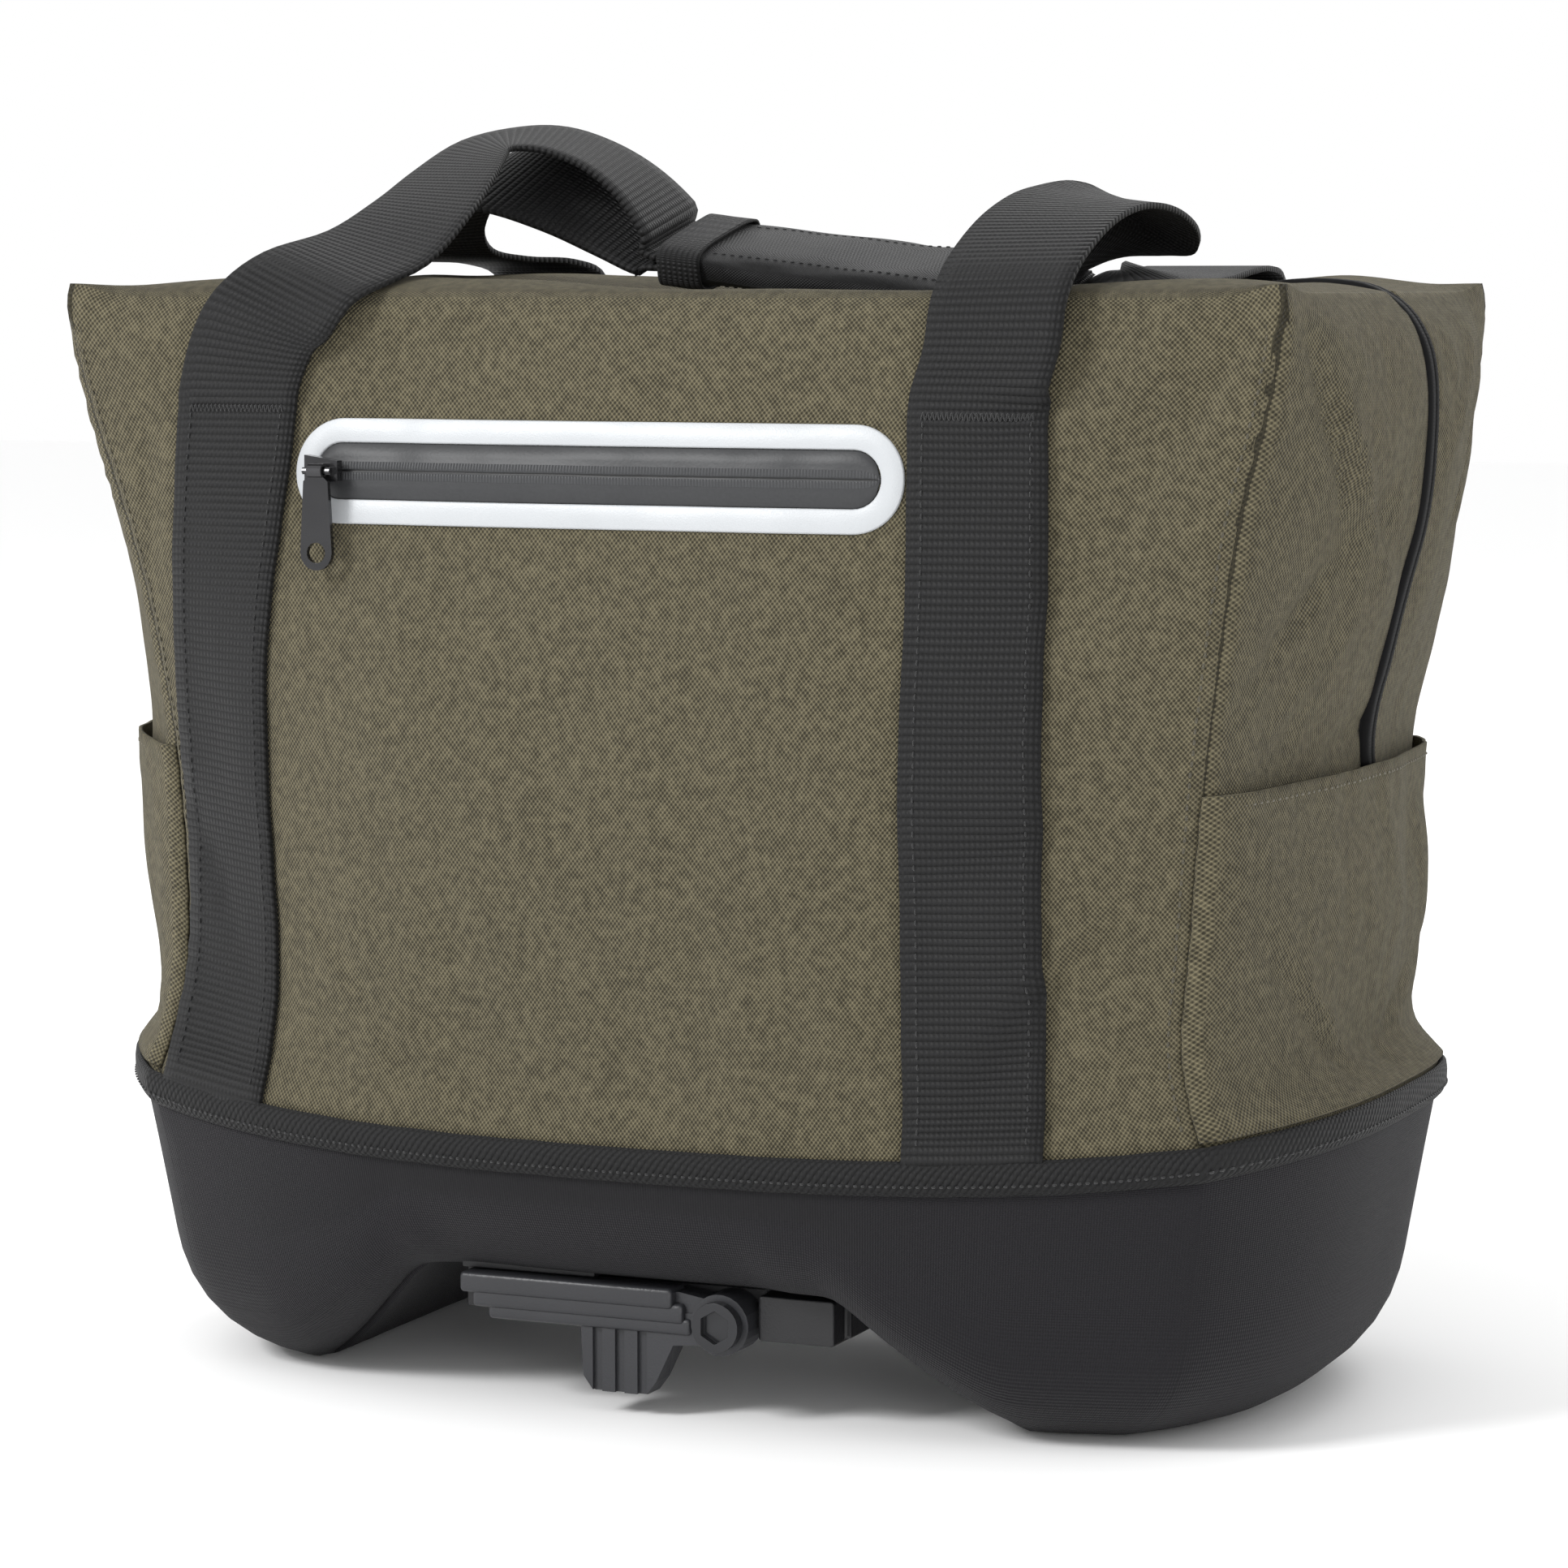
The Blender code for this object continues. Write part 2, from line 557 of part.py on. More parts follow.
def fabric_top(parts):
    """The sewn upper: four walls and a lid as one cloth, open at the rim and along the zip."""
    face_values, end_values = mirrored(FACE_COLUMNS), end_columns()
    columns = ring_columns(face_values)
    heights = cloth_heights()
    bm = bmesh.new()
    rows = [[bm.verts.new(wall_point(face, across, height)) for face, across in columns] for height in heights]
    count = len(columns)
    slot_columns = {
        j
        for j in range(count)
        if columns[j][0] in ("right", "left")
        and abs(columns[j][1] + columns[(j + 1) % count][1]) < 1e-9
    }
    for i in range(len(rows) - 1):
        for j in range(count):
            if j in slot_columns and heights[i] >= slot_foot():
                continue
            k = (j + 1) % count
            bm.faces.new((rows[i][j], rows[i][k], rows[i + 1][k], rows[i + 1][j]))
    edge = {}
    for (face, across), vertex in zip(columns, rows[-1]):
        if face in ("front", "back"):
            edge[(round(across, 6), -1.0 if face == "front" else 1.0)] = vertex
        else:
            edge[(1.0 if face == "right" else -1.0, round(across, 6))] = vertex
    lid = {}
    for along in face_values:
        for across in end_values:
            key = (round(along, 6), round(across, 6))
            lid[key] = edge.get(key) or bm.verts.new(lid_point(along, across))
    for a, b in zip(face_values[:-1], face_values[1:]):
        for c, d in zip(end_values[:-1], end_values[1:]):
            if abs(c + d) < 1e-9:
                continue
            corners = [(a, c), (b, c), (b, d), (a, d)]
            bm.faces.new([lid[(round(along, 6), round(across, 6))] for along, across in corners])
    bmesh.ops.recalc_face_normals(bm, faces=bm.faces)
    mesh = bpy.data.meshes.new("fabric_top")
    bm.to_mesh(mesh)
    bm.free()
    face_outwards(mesh, Vector((0, 0, (BASE_HEIGHT + TOP_Z) / 2)))
    obj = add_object("fabric_top", mesh, parts, "olive_fabric")
    solidify(obj, FABRIC_WALL, -1.0)
    return obj


def shell_floor_z(x):
    """The underside of the base shell: an arch in the middle, sloping down to a lobe at each end."""
    share = min(max((abs(x - ARCH_MIDDLE) - ARCH_HALF_WIDTH) / ARCH_FOOT, 0.0), 1.0)
    return ARCH_HEIGHT * (1 - share) ** ARCH_STEEPNESS


def edge_radius(x):
    """The radius of the shell's lower edge, which grows from the arch to the lobes."""
    lobe = ARCH_HALF_WIDTH + ARCH_FOOT
    return smooth_between(ARCH_HALF_WIDTH, ARCH_EDGE_RADIUS, lobe, LOBE_EDGE_RADIUS, abs(x - ARCH_MIDDLE))


def scoop(face, x, z):
    """The shallow dish pressed into the shell's front and back above the adapter."""
    if face not in ("front", "back"):
        return 0.0
    sideways = smooth_between(SCOOP_HALF_WIDTH - 0.006, 1.0, SCOOP_HALF_WIDTH + 0.006, 0.0, abs(x - SCOOP_MIDDLE))
    return SCOOP_DEPTH * sideways * smooth_between(SCOOP_TOP - 0.010, 1.0, SCOOP_TOP, 0.0, z)


def shell_point(face, across, turn, down):
    """A point of the shell's outside. down runs 0 to 1 over the wall, then turn runs 0 to 90 degrees under it."""
    top = wall_point(face, across, 0.0)
    slope = math.tan(math.radians(WALL_FLARE_DEG))
    start = rim_z(top.x) - BINDING_HEIGHT / 2 - HEM_GAP
    inset, x, z = 0.0, top.x, start
    for _ in range(4):
        radius = edge_radius(x)
        z = start + (shell_floor_z(x) + radius - start) * down
        inset = (start - z) * slope + radius * (1 - math.cos(math.radians(turn)))
        x = top.x * (1 - inset / HALF_LENGTH)
    z = start + (shell_floor_z(x) + radius - start) * down - radius * math.sin(math.radians(turn))
    y = top.y * (1 - inset / HALF_DEPTH)
    y -= math.copysign(scoop(face, x, z), y)
    return Vector((x, y, z))


def floor_share(x):
    """Which column of the shell's front comes down at this X of its underside."""
    wall = rim_z(x) - BINDING_HEIGHT / 2 - HEM_GAP - shell_floor_z(x) - edge_radius(x)
    inset = wall * math.tan(math.radians(WALL_FLARE_DEG)) + edge_radius(x)
    return x / (SECTIONS[0].seam_x * HALF_LENGTH * (1 - inset / HALF_LENGTH))


def shell_face_columns():
    """The shell's columns, with one at each end of the arch's ceiling and one where each slope meets its lobe."""
    reaches = (ARCH_HALF_WIDTH, ARCH_HALF_WIDTH + ARCH_FOOT)
    marks = [floor_share(ARCH_MIDDLE + side * reach) for side in (-1, 1) for reach in reaches]
    marks = [mark for mark in marks if abs(mark) < 0.94]
    others = [value for value in mirrored(FACE_COLUMNS)[1:-1] if all(abs(value - mark) > 0.06 for mark in marks)]
    return sorted([-1.0, *others, *marks, 1.0])


def base_shell(parts):
    """The moulded shell: walls with a little flare, two lobes and the arch between them, open at the rim."""
    face_values, end_values = shell_face_columns(), end_columns()
    columns = ring_columns(face_values)
    rows = [(0.0, 0.0), (0.5, 0.0), (1.0, 0.0), *[(1.0, turn) for turn in EDGE_TURNS_DEG]]
    bm = bmesh.new()
    rings = [
        [bm.verts.new(shell_point(face, across, turn, down)) for face, across in columns] for down, turn in rows
    ]
    count = len(columns)
    for i in range(len(rings) - 1):
        for j in range(count):
            k = (j + 1) % count
            bm.faces.new((rings[i][j], rings[i + 1][j], rings[i + 1][k], rings[i][k]))
    edge = {}
    for (face, across), vertex in zip(columns, rings[-1]):
        if face in ("front", "back"):
            edge[(round(across, 6), -1.0 if face == "front" else 1.0)] = vertex
        else:
            edge[(1.0 if face == "right" else -1.0, round(across, 6))] = vertex
    floor = {}
    for along in face_values:
        for across in end_values:
            key = (round(along, 6), round(across, 6))
            if key in edge:
                floor[key] = edge[key]
                continue
            end = shell_point("right" if along > 0 else "left", across, 90.0, 1.0)
            face = shell_point("front" if across < 0 else "back", along, 90.0, 1.0)
            share = abs(along) ** 6
            x = face.x * (1 - share) + math.copysign(abs(end.x), along) * abs(along) * share
            y = face.y * abs(across)
            floor[key] = bm.verts.new((x, y, shell_floor_z(x)))
    for a, b in zip(face_values[:-1], face_values[1:]):
        for c, d in zip(end_values[:-1], end_values[1:]):
            corners = [(a, c), (a, d), (b, d), (b, c)]
            bm.faces.new([floor[(round(along, 6), round(across, 6))] for along, across in corners])
    bmesh.ops.recalc_face_normals(bm, faces=bm.faces)
    mesh = bpy.data.meshes.new("base_shell")
    bm.to_mesh(mesh)
    bm.free()
    face_outwards(mesh, Vector((0, 0, BASE_HEIGHT)))
    obj = add_object("base_shell", mesh, parts, "base_fabric")
    solidify(obj, SHELL_WALL, -1.0)
    return obj


def rim_binding(parts):
    """The binding tape round the seam between cloth and shell."""
    slope = math.tan(math.radians(WALL_FLARE_DEG))
    bottom, middle, top = [], [], []
    for face, across in ring_columns(mirrored(FACE_COLUMNS)):
        seam = wall_point(face, across, 0.0)
        inset = BINDING_HEIGHT / 2 * slope
        low = Vector((seam.x * (1 - inset / HALF_LENGTH), seam.y * (1 - inset / HALF_DEPTH), seam.z))
        bottom.append(low - Vector((0, 0, BINDING_HEIGHT)))
        middle.append(seam - Vector((0, 0, BINDING_HEIGHT / 2)))
        top.append(seam)
    return sheet(
        "rim_binding",
        [bottom, middle, top],
        GAP + 0.0002,
        BINDING_THICKNESS,
        parts,
        "binding",
        closed_across=True,
    )


def end_pocket(side, parts):
    """The slip pocket on an end of the bag: a panel from the rim to its open top edge."""
    across = [-POCKET_SEAM_SHARE, *end_columns()[1:-1], POCKET_SEAM_SHARE]
    if side == "left":
        across.reverse()
    foot = 2 * GAP / FABRIC_HEIGHT
    heights = [foot, *[height for height in cloth_heights() if foot < height < POCKET_HEIGHT_SHARE]]
    heights.append(POCKET_HEIGHT_SHARE)
    grid = [[wall_point(side, value, height) for value in across] for height in heights]
    return sheet(f"end_pocket_{side}", grid, STRAP_SEAT, POCKET_THICKNESS, parts, "olive_fabric")


def zip_path():
    """(row of points across the zip) along it: up the right end, over the lid and down the left end."""
    heights = [height for height in cloth_heights() if slot_foot() <= height < 1.0]
    right = [zip_row(partial(wall_point, "right"), height) for height in heights]
    lid = [zip_row(lambda across, along: lid_point(along, across), along) for along in mirrored(FACE_COLUMNS)]
    left = [zip_row(partial(wall_point, "left"), height) for height in heights]
    return right + list(reversed(lid)) + list(reversed(left))


def zip_row(surface, place):
    """Points across the tape: it lies along the cloth's flat strips beside the slot."""
    slot, beside = end_columns()[len(end_columns()) // 2 :][:2]
    row = []
    for side in (-1, 1):
        near, far = surface(side * slot, place), surface(side * beside, place)
        reach = (ZIP_TAPE_HALF - ZIP_SLOT_HALF) / abs(far.y - near.y)
        row.append((near, near.lerp(far, reach)))
    (near_left, left), (near_right, right) = row
    return [left, near_left, near_right, right]


def main_zip_tape(parts):
    """The zip's tape, sewn under the two sides of the slot."""
    return sheet(
        "main_zip_tape",
        zip_path(),
        -(FABRIC_WALL + ZIP_SEAT),
        ZIP_TAPE_THICKNESS,
        parts,
        "zip_tape",
        outwards=False,
    )


def stadium(length, height, steps):
    """The outline of a flat band with round ends, about its middle."""
    radius = height / 2
    straight = length / 2 - radius
    points = []
    for side in (1, -1):
        for i in range(steps + 1):
            angle = math.radians(-90 + 180 * i / steps) if side > 0 else math.radians(90 + 180 * i / steps)
            points.append((side * straight + radius * math.cos(angle), radius * math.sin(angle)))
        points += [(side * straight * share, side * radius) for share in (0.6, 0.2, -0.2, -0.6)]
    return points


def on_trim(x, rise, lift):
    return on_front(TRIM_MIDDLE_X + x, BASE_HEIGHT + TRIM_MIDDLE_RISE + rise, lift)


def reflective_trim(parts):
    """The light oval round the pocket's zip."""
    outer = stadium(TRIM_LENGTH, TRIM_HEIGHT, 8)
    inner = stadium(TRIM_LENGTH - 2 * TRIM_BAND, TRIM_HEIGHT - 2 * TRIM_BAND, 8)
    grid = [[on_trim(x, z, STRAP_SEAT) for x, z in outline] for outline in (outer, inner)]
    return sheet("reflective_trim", grid, 0.0, TRIM_THICKNESS, parts, "reflective", closed_across=True)


def pocket_zip_tape(parts):
    """The welded zip inside the oval, with blunt round ends."""
    length = TRIM_LENGTH - 2 * TRIM_BAND - 2 * GAP
    height = TRIM_HEIGHT - 2 * TRIM_BAND - 2 * GAP
    radius = height / 2
    straight = length / 2 - radius
    stations = [(-straight - radius * math.sin(math.radians(a)), radius * math.cos(math.radians(a))) for a in (75, 50, 25)]
    stations += [(straight * share, radius) for share in (-1.0, -0.6, -0.2, 0.2, 0.6, 1.0)]
    stations += [(straight + radius * math.sin(math.radians(a)), radius * math.cos(math.radians(a))) for a in (25, 50, 75)]
    grid = [[on_trim(x, half * share, STRAP_SEAT) for x, half in stations] for share in (-1, 0, 1)]
    return sheet("pocket_zip_tape", grid, 0.0, ZIP_TAPE_THICKNESS, parts, "zip_tape")


def zip_seat():
    """The middle of the slider's seat on the pocket zip: a point on the tape's face."""
    return on_front(SLIDER_X, BASE_HEIGHT + TRIM_MIDDLE_RISE, STRAP_SEAT + ZIP_TAPE_THICKNESS)


def crown_centre():
    seat = zip_seat()
    return Vector((SLIDER_X, seat.y - GAP - SLIDER_THICKNESS - CROWN_REACH, seat.z))


def cylinder_along_x(name, middle, radius, length, collection, material, sides=16):
    bpy.ops.mesh.primitive_cylinder_add(
        vertices=sides, radius=radius, depth=length, location=middle, rotation=(0, math.pi / 2, 0)
    )
    obj = bpy.context.object
    obj.name = name
    for holder in list(obj.users_collection):
        holder.objects.unlink(obj)
    collection.objects.link(obj)
    obj.data.materials.append(make_material(material))
    return obj


def pocket_zip_slider(parts, cutters):
    """The slider's body, with the crown bar on two posts that the pull hangs on."""
    seat, crown = zip_seat(), crown_centre()
    back = seat.y - 3 * GAP
    front = back - SLIDER_THICKNESS
    half_length, half_height = SLIDER_LENGTH / 2, SLIDER_HEIGHT / 2
    taper = SLIDER_HEIGHT * 0.18
    outline = [
        (SLIDER_X - half_length, seat.z - half_height),
        (SLIDER_X + half_length, seat.z - half_height + taper),
        (SLIDER_X + half_length, seat.z + half_height - taper),
        (SLIDER_X - half_length, seat.z + half_height),
    ]
    body = prism("pocket_zip_slider", outline, front, back, parts, "gunmetal")
    bar = cylinder_along_x("crown_bar", crown, CROWN_BAR_RADIUS, CROWN_SPAN, parts, "gunmetal", sides=8)
    boolean(body, bar, "UNION", cutters)
    for side in (-1, 1):
        middle = SLIDER_X + side * (CROWN_SPAN / 2 - CROWN_BAR_RADIUS)
        low = (middle - CROWN_BAR_RADIUS, crown.y - CROWN_BAR_RADIUS * 0.4, crown.z - CROWN_BAR_RADIUS * 1.2)
        high = (middle + CROWN_BAR_RADIUS * 1.1, front + SLIDER_THICKNESS / 3, crown.z + CROWN_BAR_RADIUS * 1.2)
        boolean(body, block("slider_post", low, high, parts, "gunmetal"), "UNION", cutters)
    return body


def pocket_zip_pull(parts, cutters):
    """The pull tab: a barrel round the crown bar, and a plate with a round hole near its end."""
    crown = crown_centre()
    bore = CROWN_BAR_RADIUS + PULL_CLEARANCE
    barrel_half = CROWN_SPAN / 2 - 2 * CROWN_BAR_RADIUS - PULL_CLEARANCE
    neck, width = PULL_NECK_WIDTH / 2, PULL_WIDTH / 2
    shoulder = crown.z - bore - 2 * BARREL_WALL
    end = crown.z - PULL_LENGTH + width
    outline = [(crown.x - barrel_half, crown.z - bore - BARREL_WALL / 3), (crown.x - neck, shoulder)]
    outline += [
        (crown.x - width * math.cos(math.radians(a)), end - width * math.sin(math.radians(a)))
        for a in range(0, 181, 20)
    ]
    outline += [(crown.x + neck, shoulder), (crown.x + barrel_half, crown.z - bore - BARREL_WALL / 3)]
    near, far = crown.y - PULL_THICKNESS / 2, crown.y + PULL_THICKNESS / 2
    pull = prism("pocket_zip_pull", outline, near, far, parts, "gunmetal")
    barrel = cylinder_along_x("pull_barrel", crown, bore + BARREL_WALL, 2 * barrel_half, parts, "gunmetal")
    boolean(pull, barrel, "UNION", cutters)
    through = cylinder_along_x("pull_bore", crown, bore, 2 * barrel_half + 0.002, parts, "gunmetal")
    boolean(pull, through, "DIFFERENCE", cutters)
    hole = cylinder_along_y(
        "pull_hole", crown.x, end, PULL_HOLE_RADIUS, near - 0.001, far + 0.001, parts, "gunmetal", sides=16
    )
    boolean(pull, hole, "DIFFERENCE", cutters)
    return pull


def main_zip_slider(parts):
    """The main zip's slider, parked on the left end: one plain block on the tape, in the slot."""
    half = (ZIP_SLOT_HALF - SLIDER_SIDE_GAP) / (SECTIONS[-1].seam_y * HALF_DEPTH)
    rise = SLIDER_LENGTH / 2 / FABRIC_HEIGHT
    middle = MAIN_SLIDER_HEIGHT_SHARE
    grid = [[wall_point("left", side * half, middle + up) for side in (-1, 1)] for up in (-rise, rise)]
    seat = -FABRIC_WALL
    return sheet("main_zip_slider", grid, seat, SLIDER_THICKNESS, parts, "gunmetal")


def grip_middle(x):
    """The middle of the grip's cross-section at this X."""
    start = GRIP_START_X + GRIP_LENGTH / 2
    return BASE_HEIGHT + GRIP_MIDDLE_RISE - (x - start) * math.tan(math.radians(GRIP_TILT_DEG))


def rolled(x, y, z):
    """A point of the grip's cross-section at this X, turned by the grip's roll."""
    roll = math.radians(GRIP_ROLL_DEG)
    sine, cosine = math.sin(roll), math.cos(roll)
    return Vector((x, y * cosine - z * sine, grip_middle(x) + y * sine + z * cosine))


def clear_of_cloth(point, face):
    """Moves a point of the webbing's underside out of the cloth, if it lies inside or too near."""
    outside = 1 if face == "back" else -1
    reach = front_point(point.x, min(point.z, TOP_Z), face).y * outside
    if point.z < TOP_Z + ARM_CLEARANCE and abs(point.y) > HALF_DEPTH * 0.75:
        return Vector((point.x, outside * max(point.y * outside, reach + ARM_CLEARANCE), point.z))
    along = point.x / wall_point("right", 0.0, 1.0).x
    across = max(min(point.y / reach, 1.0), -1.0)
    return Vector((point.x, point.y, max(point.z, lid_point(along, across).z + ARM_CLEARANCE)))


def sewn_rows(x, face):
    """Rows of points up the sewn stretch of a handle."""
    rows = []
    for i in range(STRAP_ROWS + 1):
        row = []
        middle = x
        if face == "front" and x < 0:
            middle += read_table(LEFT_LEAN, "up", "shift", i / STRAP_ROWS)
        for share in ACROSS:
            place = middle + share * WEBBING_WIDTH / 2
            foot = rim_z(place) + 2 * GAP
            row.append(on_front(place, foot + (BASE_HEIGHT + STITCH_RISE - foot) * i / STRAP_ROWS, STRAP_SEAT, face))
        rows.append(row)
    return rows


def arm_rows(x, grip_x, arm, face):
    """Rows of points along a handle's free arm, from the end of its stitching to the grip."""
    wall_y = front_point(x, BASE_HEIGHT + STITCH_RISE, face).y
    turned = 1 if face == "front" else -1
    rows = []
    for station in arm:
        middle = Vector(
            (
                x + (grip_x - x) * station.along,
                wall_y * (1 - station.toward),
                TOP_Z + HANDLE_RISE * station.rise,
            )
        )
        across = Vector((station.across_x, turned * station.across_y, station.across_z)).normalized()
        row = [middle + across * WEBBING_WIDTH / 2 * share for share in ACROSS]
        rows.append([clear_of_cloth(point, face) for point in row])
    return rows


def grip_rows(x, face, layer):
    """A row of points across the webbing inside the grip."""
    side = -1 if face == "front" else 1
    return [rolled(x, side * WEBBING_WIDTH / 2 * share, layer) for share in ACROSS]


def handle(name, face, left_arm, right_arm, layer, parts):
    """One webbing: up a panel, over in a free arm, through the grip and back down the panel."""
    left_x, right_x = STRAP_MIDDLE_X - STRAP_SPACING / 2, STRAP_MIDDLE_X + STRAP_SPACING / 2
    grip_left, grip_right = GRIP_START_X, GRIP_START_X + GRIP_LENGTH
    left = sewn_rows(left_x, face) + arm_rows(left_x, grip_left, left_arm, face)
    right = sewn_rows(right_x, face) + arm_rows(right_x, grip_right, right_arm, face)
    places = (grip_left - GRIP_LEAD, (grip_left + grip_right) / 2, grip_right + GRIP_LEAD)
    inside = [grip_rows(x, face, layer) for x in places]
    rows = left + inside + [list(reversed(row)) for row in reversed(right)]
    mesh = mesh_from_grid(name, rows)
    if (mesh.polygons[0].normal.y < 0) != (face == "front"):
        mesh.flip_normals()
    obj = add_object(name, mesh, parts, "webbing")
    solidify(obj, WEBBING_THICKNESS, 1.0)
    return obj


def grip_ring(x, half_width, half_height):
    """A rounded cross-section of the grip in the plane of Y and Z."""
    points = []
    for i in range(16):
        angle = 2 * math.pi * (i + 0.5) / 16
        cosine, sine = math.cos(angle), math.sin(angle)
        y = half_width * math.copysign(abs(cosine) ** 0.40, cosine)
        z = half_height * math.copysign(abs(sine) ** 0.5, sine)
        points.append(rolled(x, y, z))
    return points


def grip_sleeve(name, start, end, half_width, half_height, thickness, parts, material):
    rings = [grip_ring(start + (end - start) * i / 4, half_width, half_height) for i in range(5)]
    mesh = mesh_from_grid(name, rings, closed_across=True)
    middle = (start + end) / 2
    face_outwards(mesh, Vector((middle, 0, grip_middle(middle))))
    obj = add_object(name, mesh, parts, material)
    solidify(obj, thickness, 1.0)
    return obj


def hand_grip(parts):
    """The sleeve round both handles, with a ribbed band at the end by the left arms."""
    half_width = WEBBING_WIDTH / 2 + GRIP_ROOM
    half_height = WEBBING_THICKNESS + GRIP_LAYER_GAP + GRIP_ROOM
    start, end = GRIP_START_X, GRIP_START_X + GRIP_LENGTH
    grip_sleeve("hand_grip", start, end, half_width, half_height, GRIP_WALL, parts, "webbing")
    over_width = half_width + GRIP_WALL + GAP
    over_height = half_height + GRIP_WALL + GAP
    band_end = start + GRIP_BAND_LENGTH
    grip_sleeve("grip_band", start, band_end, over_width, over_height, GRIP_BAND_THICKNESS, parts, "webbing")


def adapter_housing(parts, cutters):
    """The adapter's slide: a plate under the arch with a lipped rail along each side, and a block in front."""
    top = ARCH_HEIGHT - GAP
    bottom = top - ADAPTER_HEIGHT
    half, rail, lip = ADAPTER_HALF_WIDTH, ADAPTER_RAIL_WIDTH, ADAPTER_LIP
    under = top - ADAPTER_PLATE
    lip_top = bottom + ADAPTER_LIP_HEIGHT
    right_side = [
        (half, top),
        (half, bottom),
        (half - rail - lip, bottom),
        (half - rail - lip, lip_top),
        (half - rail, lip_top),
        (half - rail, under),
    ]
    left_side = [(-x, z) for x, z in reversed(right_side)]
    outline = [(ADAPTER_MIDDLE_X + x, z) for x, z in right_side + left_side]
    housing = prism("adapter_housing", outline, -ADAPTER_LENGTH / 2, ADAPTER_LENGTH / 2, parts, "adapter_plastic")
    front = -ADAPTER_LENGTH / 2
    side_block = block(
        "side_block",
        (BOSS_X + BOSS_RADIUS + BLOCK_GAP, front - SIDE_BLOCK_DEPTH, bottom - 0.001),
        (BOSS_X + BOSS_RADIUS + BLOCK_GAP + SIDE_BLOCK_LENGTH, front + ADAPTER_HEIGHT, top - 0.001),
        parts,
        "adapter_plastic",
    )
    boolean(housing, side_block, "UNION", cutters)
    return housing


def lever_span():
    """The lever's near and far values of Y, in front of the housing."""
    far = -ADAPTER_LENGTH / 2 - GAP
    return far - LEVER_THICKNESS, far


def latch_lever(parts, cutters):
    """The latch: a hub on the bolt, an arm to the left and a fluted finger tab under it."""
    near, far = lever_span()
    name = "latch_lever"
    lever = cylinder_along_y(name, BOSS_X, BOSS_Z, BOSS_RADIUS, near, far, parts, "adapter_plastic")
    tip = BOSS_X - LEVER_ARM_LENGTH
    arm_top = ARCH_HEIGHT - 0.0016
    arm_bottom = arm_top - LEVER_ARM_HEIGHT
    step = LEVER_ARM_LENGTH * 0.08
    arm = [
        (BOSS_X, arm_top - 0.002),
        (BOSS_X - BOSS_RADIUS * 1.4, arm_top),
        (tip + 0.001, arm_top),
        (tip, arm_top - 0.001),
        (tip, arm_top - LEVER_ARM_HEIGHT * 0.45),
        (tip + step, arm_bottom + 0.002),
        (tip + 2 * step, arm_bottom),
        (BOSS_X, arm_bottom - 0.002),
    ]
    boolean(lever, prism("lever_arm", arm, near + 0.001, far - 0.001, parts, "adapter_plastic"), "UNION", cutters)
    left = GRIP_TAB_MIDDLE_X - GRIP_TAB_WIDTH / 2
    right = GRIP_TAB_MIDDLE_X + GRIP_TAB_WIDTH / 2
    tab = [
        (left, arm_bottom + 0.002),
        (left + 0.001, GRIP_TAB_BOTTOM + 0.004),
        (left + 0.004, GRIP_TAB_BOTTOM),
        (right - 0.004, GRIP_TAB_BOTTOM),
        (right - 0.001, GRIP_TAB_BOTTOM + 0.004),
        (right + 0.004, BOSS_Z - BOSS_RADIUS * 0.8),
        (BOSS_X - BOSS_RADIUS * 0.3, BOSS_Z - BOSS_RADIUS * 0.7),
        (BOSS_X - BOSS_RADIUS * 0.3, arm_bottom + 0.002),
    ]
    boolean(lever, prism("finger_tab", tab, near + 0.0005, far - 0.0015, parts, "adapter_plastic"), "UNION", cutters)
    for share in (-0.5, 0.0, 0.5):
        middle = GRIP_TAB_MIDDLE_X + share * GRIP_TAB_WIDTH * 0.56
        flute = block(
            "flute",
            (middle - FLUTE_WIDTH / 2, near - 0.001, GRIP_TAB_BOTTOM - 0.001),
            (middle + FLUTE_WIDTH / 2, near + 0.0017, arm_bottom - 0.003),
            parts,
            "adapter_plastic",
        )
        boolean(lever, flute, "DIFFERENCE", cutters)
    bore = cylinder_along_y(
        "hub_bore", BOSS_X, BOSS_Z, BOLT_RADIUS + BOLT_CLEARANCE, near - 0.001, far + 0.001, parts, "adapter_plastic"
    )
    boolean(lever, bore, "DIFFERENCE", cutters)
    return lever


def lock_bolt(parts, cutters):
    """The hex socket bolt that the latch turns on."""
    near, far = lever_span()
    bolt = cylinder_along_y("lock_bolt", BOSS_X, BOSS_Z, BOLT_RADIUS, near - 0.0006, far, parts, "bolt_steel")
    head_near = near - GAP - BOLT_HEAD_THICKNESS
    head = cylinder_along_y(
        "bolt_head", BOSS_X, BOSS_Z, BOLT_HEAD_RADIUS, head_near, near - GAP, parts, "bolt_steel"
    )
    boolean(bolt, head, "UNION", cutters)
    socket = cylinder_along_y(
        "hex_socket",
        BOSS_X,
        BOSS_Z,
        HEX_ACROSS_FLATS / math.sqrt(3),
        head_near - 0.001,
        head_near + HEX_DEPTH,
        parts,
        "bolt_steel",
        sides=6,
    )
    boolean(bolt, socket, "DIFFERENCE", cutters)
    return bolt


